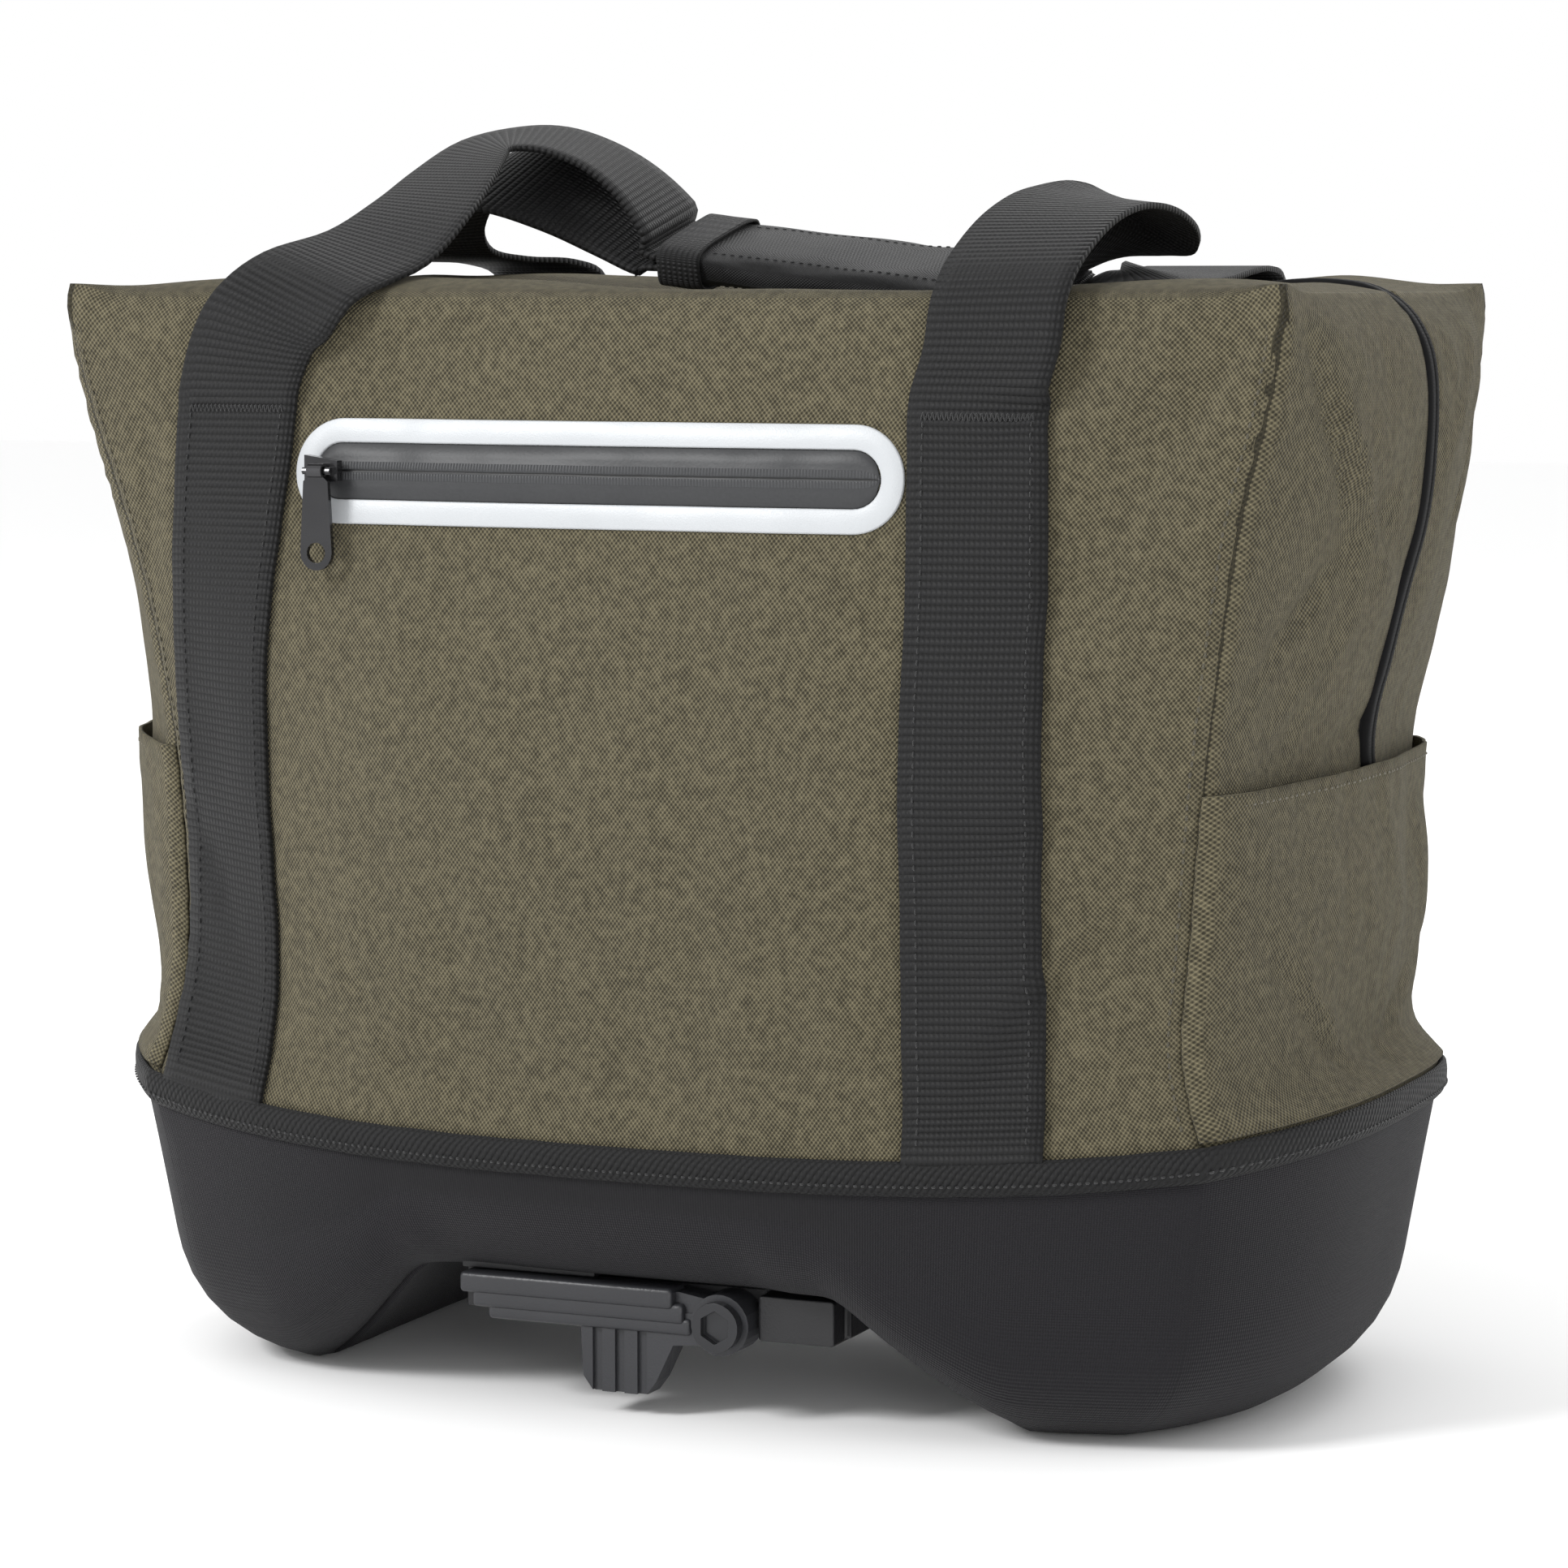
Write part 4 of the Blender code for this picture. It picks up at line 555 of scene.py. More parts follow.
def face_normal(x, z, face="front"):
    """The way out of the front or back wall at this X and Z."""
    step = 0.002
    sideways = face_point(x + step, z, face) - face_point(x - step, z, face)
    upwards = face_point(x, z + step, face) - face_point(x, z - step, face)
    normal = sideways.cross(upwards).normalized()
    return normal if face == "front" else -normal


def on_face(x, z, lift, face="front"):
    """A point at a lift off the front or back wall."""
    return face_point(x, z, face) + face_normal(x, z, face) * lift


def deselect_all():
    if bpy.context.mode != "OBJECT":
        bpy.ops.object.mode_set(mode="OBJECT")
    bpy.ops.object.select_all(action="DESELECT")


def active(obj):
    deselect_all()
    obj.select_set(True)
    bpy.context.view_layer.objects.active = obj


def panel(name, columns, rows, place, measure):
    """A grid laid on a surface: place and measure take shares across and up, and give a point and a UV."""
    deselect_all()
    bpy.ops.mesh.primitive_grid_add(x_subdivisions=columns, y_subdivisions=rows, size=1, calc_uvs=True)
    obj = bpy.context.object
    obj.name = name
    mesh = obj.data
    shares = [(vertex.co.x + 0.5, vertex.co.y + 0.5) for vertex in mesh.vertices]
    for vertex, (s, t) in zip(mesh.vertices, shares):
        vertex.co = place(s, t)
    layer = mesh.uv_layers.active.data
    for loop in mesh.loops:
        layer[loop.index].uv = measure(*shares[loop.vertex_index])
    return obj


def join(name, pieces, weld=2e-5):
    """Joins panels into one piece, welds their shared edges and turns the faces outwards."""
    deselect_all()
    for piece in pieces:
        piece.select_set(True)
    bpy.context.view_layer.objects.active = pieces[0]
    bpy.ops.object.join()
    obj = bpy.context.object
    obj.name = name
    bpy.ops.object.mode_set(mode="EDIT")
    bpy.ops.mesh.select_all(action="SELECT")
    bpy.ops.mesh.remove_doubles(threshold=weld)
    bpy.ops.mesh.normals_make_consistent(inside=False)
    bpy.ops.object.mode_set(mode="OBJECT")
    bpy.ops.object.shade_smooth()
    return obj


def face_away(obj, middle):
    """Turns an open sheet's faces so that on the whole they look away from a point."""
    mesh = obj.data
    if sum(face.area * face.normal.dot(face.center - middle) for face in mesh.polygons) < 0:
        mesh.flip_normals()


def face_front(obj):
    """Turns an open sheet's faces so that on the whole they look towards -Y."""
    if sum(polygon.normal.y * polygon.area for polygon in obj.data.polygons) > 0:
        obj.data.flip_normals()


def thicken(obj, thickness, offset):
    """Gives a sheet a wall: inwards at offset -1, outwards at 1."""
    modifier = obj.modifiers.new("Wall", "SOLIDIFY")
    modifier.thickness = thickness
    modifier.offset = offset
    modifier.use_even_offset = False
    modifier.use_rim = True


def smooth_group(obj, weights, repeats):
    """Relaxes the vertices that have a weight, each half way at every repeat."""
    group = obj.vertex_groups.new(name="relax")
    for index, weight in enumerate(weights):
        if weight > 0.001:
            group.add([index], weight, "REPLACE")
    modifier = obj.modifiers.new("Relax", "SMOOTH")
    modifier.factor = 0.5
    modifier.iterations = repeats
    modifier.vertex_group = group.name
    active(obj)
    bpy.ops.object.modifier_apply(modifier=modifier.name)


def finish_piece(obj, material, body="bag", nodes=()):
    obj.data.materials.clear()
    obj.data.materials.append(material)
    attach(obj, body)
    if nodes:
        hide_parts(*nodes)
    return obj


class Wire:
    """A socket of a material that Python's operators act on, through Math nodes."""

    def __init__(self, paint, socket):
        self.paint = paint
        self.socket = socket

    def math(self, operation, other=None, swap=False):
        values = [self, other] if other is not None else [self]
        if swap:
            values.reverse()
        return self.paint.node("ShaderNodeMath", {"operation": operation}, values)

    def __add__(self, other):
        return self.math("ADD", other)

    __radd__ = __add__

    def __sub__(self, other):
        return self.math("SUBTRACT", other)

    def __rsub__(self, other):
        return self.math("SUBTRACT", other, swap=True)

    def __mul__(self, other):
        return self.math("MULTIPLY", other)

    __rmul__ = __mul__

    def sine(self):
        return self.math("SINE")

    def absolute(self):
        return self.math("ABSOLUTE")

    def over(self, edge):
        return self.math("GREATER_THAN", edge)

    def under(self, edge):
        return self.math("LESS_THAN", edge)


class Paint:
    """A Principled material built up from nodes."""

    def __init__(self, name, roughness, metallic=0.0, specular=0.5, sheen=0.0, coat=0.0):
        self.material = bpy.data.materials.new(name)
        self.material.use_nodes = True
        self.tree = self.material.node_tree
        self.shader = self.tree.nodes["Principled BSDF"]
        self.shader.inputs["Roughness"].default_value = roughness
        self.shader.inputs["Metallic"].default_value = metallic
        self.shader.inputs["Specular IOR Level"].default_value = specular
        self.shader.inputs["Sheen Weight"].default_value = sheen
        self.shader.inputs["Coat Weight"].default_value = coat

    def node(self, kind, settings, sockets=(), output=0):
        """A node with its settings, and its sockets' values or links by place or by name."""
        made = self.tree.nodes.new(kind)
        for key, value in settings.items():
            setattr(made, key, value)
        pairs = sockets.items() if isinstance(sockets, dict) else enumerate(sockets)
        for key, value in pairs:
            if isinstance(value, Wire):
                self.tree.links.new(value.socket, made.inputs[key])
            else:
                made.inputs[key].default_value = value
        return Wire(self, made.outputs[output])

    def uv(self):
        """The two measures of the piece's own UV map, in metres."""
        place = self.node("ShaderNodeUVMap", {"uv_map": "UVMap"})
        split = self.node("ShaderNodeSeparateXYZ", {}, [place])
        return split, Wire(self, split.socket.node.outputs[1])

    def place(self):
        return self.node("ShaderNodeTexCoord", {}, output=3)

    def noise(self, scale, detail=2.0, roughness=0.5):
        sockets = {"Vector": self.place(), "Scale": scale, "Detail": detail, "Roughness": roughness}
        return self.node("ShaderNodeTexNoise", {}, sockets)

    def mix(self, share, low, high):
        """A mix of two colours, each of which may also be a wire."""
        ends = [each if isinstance(each, Wire) else (*each, 1.0) for each in (low, high)]
        sockets = {0: share, 6: ends[0], 7: ends[1]}
        return self.node("ShaderNodeMix", {"data_type": "RGBA"}, sockets, output=2)

    def colour_by(self, share, colour, low, high):
        """Base Color between two shades of a colour."""
        self.feed("Base Color", self.mix(share, shade(colour, low), shade(colour, high)))

    def feed(self, name, wire):
        self.tree.links.new(wire.socket, self.shader.inputs[name])

    def bump(self, height, distance):
        sockets = {"Height": height, "Distance": distance, "Strength": 1.0}
        self.feed("Normal", self.node("ShaderNodeBump", {}, sockets))


def shade(colour, factor):
    return tuple(min(channel * factor, 1.0) for channel in colour)


def weave_height(u, v, spacing):
    """Yarns that pass over and under each other: raised cells in a checker of rounded bumps."""
    turn = math.pi / spacing
    return (u * turn).sine() * (v * turn).sine()


def cloth_paint(name, colour, spacing, depth, roughness, seams=False):
    """Woven cloth, with a dark line of painted shade in the crease of the corner seams on the piece that has
    them.
    """
    paint = Paint(name, roughness, specular=0.16, sheen=0.05)
    u, v = paint.uv()
    slub = paint.noise(900.0, 2.0)
    height = weave_height(u + slub * spacing * 0.25, v, spacing)
    broad = paint.noise(14.0, 3.0)
    yarn = paint.noise(420.0, 1.0)
    share = height * 0.55 + 0.46 + (yarn - 0.5) * 0.8
    ground = paint.mix(share, shade(colour, 0.18), shade(colour, 1.86))
    worn = paint.mix(broad, shade(colour, 0.86), shade(colour, 1.12))
    blend = paint.mix(0.12, ground, worn)
    # Painted shade: the cloth is darkened in a thin line along the crease of each corner seam, on the faces
    # and on the ends.
    if seams:
        front_seam_shade = u.absolute().over(HALF_LENGTH - SEAM_SHADE_WIDTH)
        on_front = u.absolute().under(HALF_LENGTH + 0.001)
        end_seam_shade = (u - END_UV_OFFSET).absolute().over(HALF_DEPTH - SEAM_SHADE_WIDTH)
        on_end = u.over(HALF_LENGTH + 0.1)
        dark = (front_seam_shade * on_front + end_seam_shade * on_end) * SEAM_SHADE_STRENGTH
        blend = paint.mix(dark, blend, shade(colour, 0.16))
    paint.feed("Base Color", blend)
    paint.bump(height + slub * 0.12, depth)
    return paint.material


def webbing_paint(name, colour, rib, lengthwise=True):
    """Webbing with ribs across it, or along it where lengthwise is off."""
    paint = Paint(name, 0.62, specular=0.26, sheen=0.03)
    u, v = paint.uv()
    if not lengthwise:
        u, v = v, u
    ribs = (v * (math.pi / rib)).sine().absolute()
    yarns = (u * (math.pi / 0.0007)).sine()
    fuzz = paint.noise(1500.0, 2.0)
    height = ribs * 1.0 + yarns * ribs * 0.22 + fuzz * 0.25
    share = ribs * 0.75 + (fuzz - 0.5) * 0.5
    paint.colour_by(share, colour, 0.35, 1.65)
    paint.feed("Roughness", 0.50 + fuzz * 0.25)
    paint.bump(height, 0.00045)
    return paint.material


def twill_paint(name, colour, spacing):
    """Tape with slanting lines and threads that cross them."""
    paint = Paint(name, 0.66, specular=0.24, sheen=0.03)
    u, v = paint.uv()
    lines = ((u + v * 1.3) * (math.pi / spacing)).sine().absolute()
    threads = ((u - v * 0.6) * (math.pi / (spacing * 0.42))).sine()
    fuzz = paint.noise(1300.0, 2.0)
    share = lines * 0.7 + (fuzz - 0.5) * 0.5
    paint.colour_by(share, colour, 0.4, 1.6)
    paint.bump(lines + threads * 0.25 + fuzz * 0.2, 0.0004)
    return paint.material


def shell_paint(colour):
    """Fine cloth drawn tight over the moulded shell."""
    paint = Paint("base_cloth", 0.70, specular=0.22, sheen=0.04)
    u, v = paint.uv()
    knit = ((u + v) * (math.pi / 0.00085)).sine() * ((u - v) * (math.pi / 0.00085)).sine()
    fuzz = paint.noise(1700.0, 2.0)
    broad = paint.noise(9.0, 3.0)
    share = knit * 0.30 + 0.35 + (fuzz - 0.5) * 0.4 + (broad - 0.5) * 0.3
    paint.colour_by(share, colour, 0.62, 1.35)
    paint.feed("Roughness", 0.60 + fuzz * 0.25)
    paint.bump(knit * 0.8 + fuzz * 0.4, 0.00018)
    return paint.material


def plastic_paint(name, colour, roughness, grain_depth):
    """Moulded plastic with a fine grain and a few scuffs."""
    paint = Paint(name, roughness, specular=0.45)
    grain = paint.noise(1400.0, 2.0)
    smudge = paint.noise(35.0, 3.0)
    scratch = paint.noise(160.0, 4.0, 0.7)
    paint.colour_by(smudge, colour, 0.8, 1.25)
    paint.feed("Roughness", roughness - 0.10 + smudge * 0.14 + scratch * 0.08)
    paint.bump(grain, grain_depth)
    return paint.material


def metal_paint(name, colour, roughness, metallic=0.75):
    """Coated metal with faint smudges."""
    paint = Paint(name, roughness, metallic=metallic, specular=0.5, coat=0.35)
    smudge = paint.noise(120.0, 3.0)
    paint.colour_by(smudge, colour, 0.8, 1.2)
    paint.feed("Roughness", roughness - 0.06 + smudge * 0.14)
    return paint.material


def film_paint(colour):
    """Reflective film: satin, with a fine bead texture."""
    paint = Paint("reflective_film", 0.42, specular=0.6)
    bead = paint.noise(2600.0, 1.0)
    broad = paint.noise(40.0, 2.0)
    paint.colour_by(broad, colour, 0.93, 1.06)
    paint.feed("Roughness", 0.34 + bead * 0.18)
    paint.bump(bead, 0.00006)
    return paint.material


def coated_zip_paint(name, colour, roughness=0.46, specular=0.35):
    """Coated zip tape: two smooth lips that meet at a line, with the coil's bumps under them."""
    paint = Paint(name, roughness, specular=specular)
    u, v = paint.uv()
    coil = (u * (math.pi / 0.0009)).sine().absolute()
    away = v.absolute()
    seam = away.under(0.00028)
    near_coil = away.under(0.0024) * away.over(0.0005)
    ridge = coil * near_coil
    fuzz = paint.noise(1200.0, 2.0)
    share = 0.55 - seam * 0.55 + ridge * 0.25 + (fuzz - 0.5) * 0.25
    paint.colour_by(share, colour, 0.12, 1.5)
    paint.bump(ridge * 0.6 - seam * 2.0 + fuzz * 0.15, 0.00028)
    return paint.material


def thread_paint(name, colour):
    """Twisted thread of the stitches."""
    paint = Paint(name, 0.6, specular=0.3, sheen=0.2)
    twist = paint.noise(2500.0, 1.0)
    paint.colour_by(twist, colour, 0.7, 1.3)
    return paint.material


def add_mesh(name, bm):
    """Makes an object of a mesh that was built by code, with its faces turned outwards."""
    bmesh.ops.recalc_face_normals(bm, faces=bm.faces)
    mesh = bpy.data.meshes.new(name)
    bm.to_mesh(mesh)
    bm.free()
    mesh.shade_smooth()
    obj = bpy.data.objects.new(name, mesh)
    bpy.context.collection.objects.link(obj)
    return obj


def stitches(name, runs, material, width=0.00030):
    """Rows of stitches: a run is a list of (point, normal), and a stitch lies between each pair of points."""
    bm = bmesh.new()
    for run in runs:
        for (start, normal), (end, _) in zip(run[:-1:2], run[1::2]):
            along = end - start
            if along.length < 1e-6:
                continue
            along = along.normalized() * min(along.length, STITCH_LENGTH)
            middle = (start + end) / 2
            side = along.cross(normal).normalized() * width
            up = normal.normalized() * width
            rings = []
            for share, size in ((-0.5, 0.35), (-0.3, 1.0), (0.3, 1.0), (0.5, 0.35)):
                centre = middle + along * share + up * (0.6 * (size - 0.6))
                ring = [centre + side * size, centre + up * size, centre - side * size, centre - up * size]
                rings.append([bm.verts.new(point) for point in ring])
            for a, b in zip(rings[:-1], rings[1:]):
                for i in range(4):
                    bm.faces.new((a[i], a[(i + 1) % 4], b[(i + 1) % 4], b[i]))
            bm.faces.new(rings[0][::-1])
            bm.faces.new(rings[-1])
    return finish_piece(add_mesh(name, bm), material)


def evenly(count, low=0.0, high=1.0):
    """The ends of count equal steps from low to high."""
    return [low + (high - low) * i / count for i in range(count + 1)]


def between(values, share):
    """Reads an evenly spaced list at a share of its length."""
    place = share * (len(values) - 1)
    index = min(int(place), len(values) - 2)
    return values[index] + (values[index + 1] - values[index]) * (place - index)


def cloth_rows():
    """Heights of the cloth's mesh rows below and above the foot of the zip slot."""
    cell = looks().cell
    low = max(4, round(SLOT_FOOT * FABRIC_HEIGHT / cell))
    high = max(4, round((1 - SLOT_FOOT) * FABRIC_HEIGHT / cell))
    hem = -BINDING_HEIGHT / 2 / FABRIC_HEIGHT
    return [hem, *evenly(low, 0.0, SLOT_FOOT), *evenly(high, SLOT_FOOT, 1.0)[1:]], low + 1


def raise_corners(obj):
    """Draws each top corner out into the small point that the sewn corner makes."""
    for vertex in obj.data.vertices:
        x, y, z = vertex.co
        away = math.hypot(abs(x) - CORNER_X, abs(y) - CORNER_Y, z - TOP_Z) / CORNER_REACH
        lift = math.exp(-away * away)
        out = Vector((math.copysign(0.6, x), math.copysign(0.5, y), 1.0)).normalized()
        vertex.co += out * CORNER_LIFT * lift


def seam_stitches(material):
    """A row of stitches down each corner seam, just inside the front or back panel."""
    runs = []
    for face in ("front", "back"):
        for side in (-1, 1):
            run = []
            for height in evenly(150, 0.02, 0.97):
                across = side * (1 - SEAM_STITCH_INSET / section(height)[0])
                point = wall_point(face, across, height)
                normal = face_normal(point.x, point.z, face)
                run.append((point + normal * 0.0002, normal))
            runs.append(run)
    stitches("corner_stitches", runs, material)


class BAG_OT_cloth(bpy.types.Operator):
    """Adds the sewn upper: four walls and a lid in one cloth, with its folds, seams and zip slot"""

    bl_idname = "bag.cloth"
    bl_label = "Cloth"

    def execute(self, context):
        cell = looks().cell
        heights, low_rows = cloth_rows()
        rows = len(heights) - 1
        face_columns = round(2 * MEAN_SEAM_X * HALF_LENGTH / cell)
        end_columns = round(MEAN_SEAM_Y * HALF_DEPTH / cell)
        slot = ZIP_SLOT_HALF / (SEAM_Y_TOP * HALF_DEPTH)
        turns = [math.sin(math.pi / 2 * share) for share in evenly(face_columns, -1.0, 1.0)]

        def up(t):
            return between(heights, t)

        def toward_seam(share, side):
            """Shares across half an end, closer together beside the seam."""
            return share**SEAM_CROWDING if side < 0 else 1 - (1 - share) ** SEAM_CROWDING

        def face_wall(face):
            return panel(
                "cloth_" + face,
                face_columns,
                rows,
                lambda s, t: wall_point(face, between(turns, s), up(t)),
                lambda s, t: (between(turns, s) * HALF_LENGTH, up(t) * FABRIC_HEIGHT),
            )

        def end_wall(face, low, high, columns, first, last):
            def across(s):
                share = s if abs(low + high) < slot else toward_seam(s, low + high)
                return low + (high - low) * share

            return panel(
                "cloth_" + face,
                columns,
                last - first,
                lambda s, t: wall_point(face, across(s), between(heights[first : last + 1], t)),
                lambda s, t: (
                    END_UV_OFFSET + across(s) * HALF_DEPTH,
                    between(heights[first : last + 1], t) * FABRIC_HEIGHT,
                ),
            )

        def lid_half(low, high):
            return panel(
                "cloth_lid",
                face_columns,
                end_columns,
                lambda s, t: lid_point(between(turns, s), low + (high - low) * toward_seam(t, low + high)),
                lambda s, t: (
                    between(turns, s) * HALF_LENGTH * LID_UV_SHRINK,
                    LID_UV_OFFSET + (low + (high - low) * t) * HALF_DEPTH,
                ),
            )

        pieces = [face_wall("front"), face_wall("back"), lid_half(-1.0, -slot), lid_half(slot, 1.0)]
        for face in ("left", "right"):
            pieces.append(end_wall(face, -1.0, -slot, end_columns, 0, rows))
            pieces.append(end_wall(face, slot, 1.0, end_columns, 0, rows))
            pieces.append(end_wall(face, -slot, slot, 2, 0, low_rows))
        obj = join("bag_cloth", pieces)
        face_away(obj, Vector((0, 0, (BASE_HEIGHT + TOP_Z) / 2)))
        weights = []
        for vertex in obj.data.vertices:
            x, y, z = vertex.co
            edge = min(abs(abs(x) - LID_EDGE_X), abs(abs(y) - LID_EDGE_Y)) if z > TOP_Z - 0.02 else 1.0
            below = ease(TOP_Z - 0.016, TOP_Z - 0.004, z)
            corner = math.hypot(abs(x) - CORNER_X, abs(y) - CORNER_Y)
            slot_side = ease(ZIP_SLOT_HALF + 0.0005, ZIP_SLOT_HALF + 0.004, abs(y))
            weight = below * (1 - ease(0.010, 0.022, edge)) * ease(0.002, 0.016, corner) * slot_side
            weights.append(weight)
        smooth_group(obj, weights, 14)
        raise_corners(obj)
        thicken(obj, CLOTH_WALL, -1.0)
        colour = looks().cloth_colour
        material = cloth_paint("olive_cloth", colour, looks().weave, CLOTH_RELIEF, CLOTH_ROUGHNESS, True)
        finish_piece(obj, material, nodes=["fabric_top"])
        seam_stitches(thread_paint("seam_thread", shade(colour, 0.6)))
        return {"FINISHED"}


def shell_floor_z(x):
    """Height of the base's underside, which rises to the arch in the middle."""
    share = min(max((abs(x - ARCH_MIDDLE) - ARCH_HALF_WIDTH) / ARCH_FOOT, 0.0), 1.0)
    return ARCH_HEIGHT * (1 - share) ** ARCH_STEEPNESS


def edge_radius(x):
    """Radius of the base's lower edge, larger at the lobes than at the arch."""
    lobe = ease(ARCH_HALF_WIDTH, ARCH_HALF_WIDTH + ARCH_FOOT, abs(x - ARCH_MIDDLE))
    return ARCH_EDGE_RADIUS + (LOBE_EDGE_RADIUS - ARCH_EDGE_RADIUS) * lobe


def scoop(face, x, z):
    """How far the wall over the arch is drawn in behind the adapter's lever."""
    if face not in ("front", "back"):
        return 0.0
    sideways = 1 - ease(SCOOP_HALF_WIDTH - 0.006, SCOOP_HALF_WIDTH + 0.006, abs(x - SCOOP_MIDDLE))
    return SCOOP_DEPTH * sideways * (1 - ease(SCOOP_TOP - 0.010, SCOOP_TOP, z))


def shell_point(face, across, down, turn):
    """A point of the shell's outside: down runs 0 to 1 over the wall, then turn 0 to 90 degrees under it."""
    top = wall_point(face, across, 0.0, fine=False)
    start = rim_z(top.x) - BINDING_HEIGHT / 2 - HEM_GAP
    inset, x, z = 0.0, top.x, start
    for _ in range(5):
        radius = edge_radius(x)
        z = start + (shell_floor_z(x) + radius - start) * down
        inset = (start - z) * WALL_FLARE + radius * (1 - math.cos(math.radians(turn)))
        x = top.x * (1 - inset / HALF_LENGTH)
    z = start + (shell_floor_z(x) + radius - start) * down - radius * math.sin(math.radians(turn))
    y = top.y * (1 - inset / HALF_DEPTH)
    y -= math.copysign(scoop(face, x, z), y)
    return Vector((x, y, z))


def shell_floor_point(along, across):
    """A point of the base's underside, by shares of its length and depth."""
    end = shell_point("right" if along > 0 else "left", across, 1.0, 90.0)
    side = shell_point("front" if across < 0 else "back", along, 1.0, 90.0)
    share = abs(along) ** 6
    x = side.x * (1 - share) + math.copysign(abs(end.x), along) * abs(along) * share
    return Vector((x, side.y * abs(across), shell_floor_z(x)))


class BAG_OT_base(bpy.types.Operator):
    """Adds the moulded base with its two lobes and the arch between them"""

    bl_idname = "bag.base"
    bl_label = "Base"

    def execute(self, context):
        columns, ends, wall_rows, turn_rows = 90, 44, 14, 8
        stations = [(down, 0.0) for down in evenly(wall_rows)]
        stations += [(1.0, turn) for turn in evenly(turn_rows, 0.0, 90.0)[1:]]
        downs = [station[0] for station in stations]
        turns = [station[1] for station in stations]

        def wall(face, count):
            def place(s, t):
                return shell_point(face, 2 * s - 1, between(downs, 1 - t), between(turns, 1 - t))

            half = HALF_DEPTH if face in ("left", "right") else HALF_LENGTH

            def measure(s, t):
                return ((2 * s - 1) * half, t * 0.1)

            return panel("base_" + face, count, len(stations) - 1, place, measure)

        def floor_place(s, t):
            return shell_floor_point(2 * s - 1, 2 * t - 1)

        def floor_measure(s, t):
            return ((2 * s - 1) * HALF_LENGTH, (2 * t - 1) * HALF_DEPTH)

        pieces = [wall("front", columns), wall("back", columns), wall("left", ends), wall("right", ends)]
        pieces.append(panel("base_floor", columns, ends, floor_place, floor_measure))
        obj = join("moulded_base", pieces)
        face_away(obj, Vector((0, 0, BASE_HEIGHT)))
        weights = []
        for vertex in obj.data.vertices:
            top = rim_z(vertex.co.x) - BINDING_HEIGHT / 2 - HEM_GAP
            low = 1 - ease(0.0005, 0.004, vertex.co.z)
            away = ease(0.004, 0.020, top - vertex.co.z)
            weights.append(away * (1 - 0.9 * low))
        smooth_group(obj, weights, 10)
        thicken(obj, SHELL_WALL, -1.0)
        finish_piece(obj, shell_paint(looks().base_colour), nodes=["base_shell"])
        return {"FINISHED"}


def around(count_face, count_end):
    """(face, across) of evenly spaced stations round the bag, anticlockwise from the front left seam."""
    sides = (("front", count_face, -1.0), ("right", count_end, -1.0))
    sides += (("back", count_face, 1.0), ("left", count_end, 1.0))
    return [(face, value) for face, count, start in sides for value in evenly(count, start, -start)[:-1]]


class BAG_OT_binding(bpy.types.Operator):
    """Adds the binding tape round the rim, with its stitching"""

    bl_idname = "bag.binding"
    bl_label = "Rim binding"

    def execute(self, context):
        stations = around(120, 60)
        count = len(stations)
        rings = []
        lengths = [0.0]
        for index in range(count):
            face, across = stations[index]
            seam = wall_point(face, across, 0.0, fine=False)
            before = wall_point(*stations[index - 1], 0.0, fine=False)
            after = wall_point(*stations[(index + 1) % count], 0.0, fine=False)
            along = (after - before).normalized()
            outward = along.cross(Vector((0, 0, 1))).normalized()
            wave = 0.00035 * noise.noise(Vector((index * 0.23, 0.0, 2.0)))
            ring = []
            for down, out in BINDING_SECTION:
                inset = max(down - BINDING_HEIGHT / 2, 0.0) * WALL_FLARE
                ring.append(seam + outward * (out + wave - inset) - Vector((0, 0, down - wave)))
            rings.append(ring)
            lengths.append(lengths[-1] + (after - before).length / 2)
        bm = bmesh.new()
        layer = bm.loops.layers.uv.new("UVMap")
        grid = [[bm.verts.new(point) for point in ring] for ring in rings]
        steps = len(BINDING_SECTION)
        for i in range(count):
            for j in range(steps):
                k = (j + 1) % steps
                corners = [(i, j), ((i + 1) % count, j), ((i + 1) % count, k), (i, k)]
                face = bm.faces.new([grid[a][b] for a, b in corners])
                for loop, (row, column) in zip(face.loops, [(i, j), (i + 1, j), (i + 1, j + 1), (i, j + 1)]):
                    loop[layer].uv = (lengths[row], column * 0.0016)
        twill = twill_paint("binding_twill", looks().webbing_colour, 0.0021)
        finish_piece(add_mesh("rim_tape", bm), twill, nodes=["rim_binding"])
        run = []
        stitch_depth = 0.0066
        for face, across in around(300, 150):
            seam = wall_point(face, across, 0.0, fine=False)
            ahead = wall_point(face, min(across + 0.002, 1.0), 0.0, fine=False)
            behind = wall_point(face, max(across - 0.002, -1.0), 0.0, fine=False)
            direction = -1 if face in ("back", "left") else 1
            outward = ((ahead - behind) * direction).normalized().cross(Vector((0, 0, 1))).normalized()
            out = 0.0028 - (stitch_depth - BINDING_HEIGHT / 2) * WALL_FLARE
            point = seam + outward * out - Vector((0, 0, stitch_depth))
            run.append((point, outward))
        thread = thread_paint("dark_thread", shade(looks().webbing_colour, 2.0))
        stitches("rim_stitches", [run], thread)
        return {"FINISHED"}


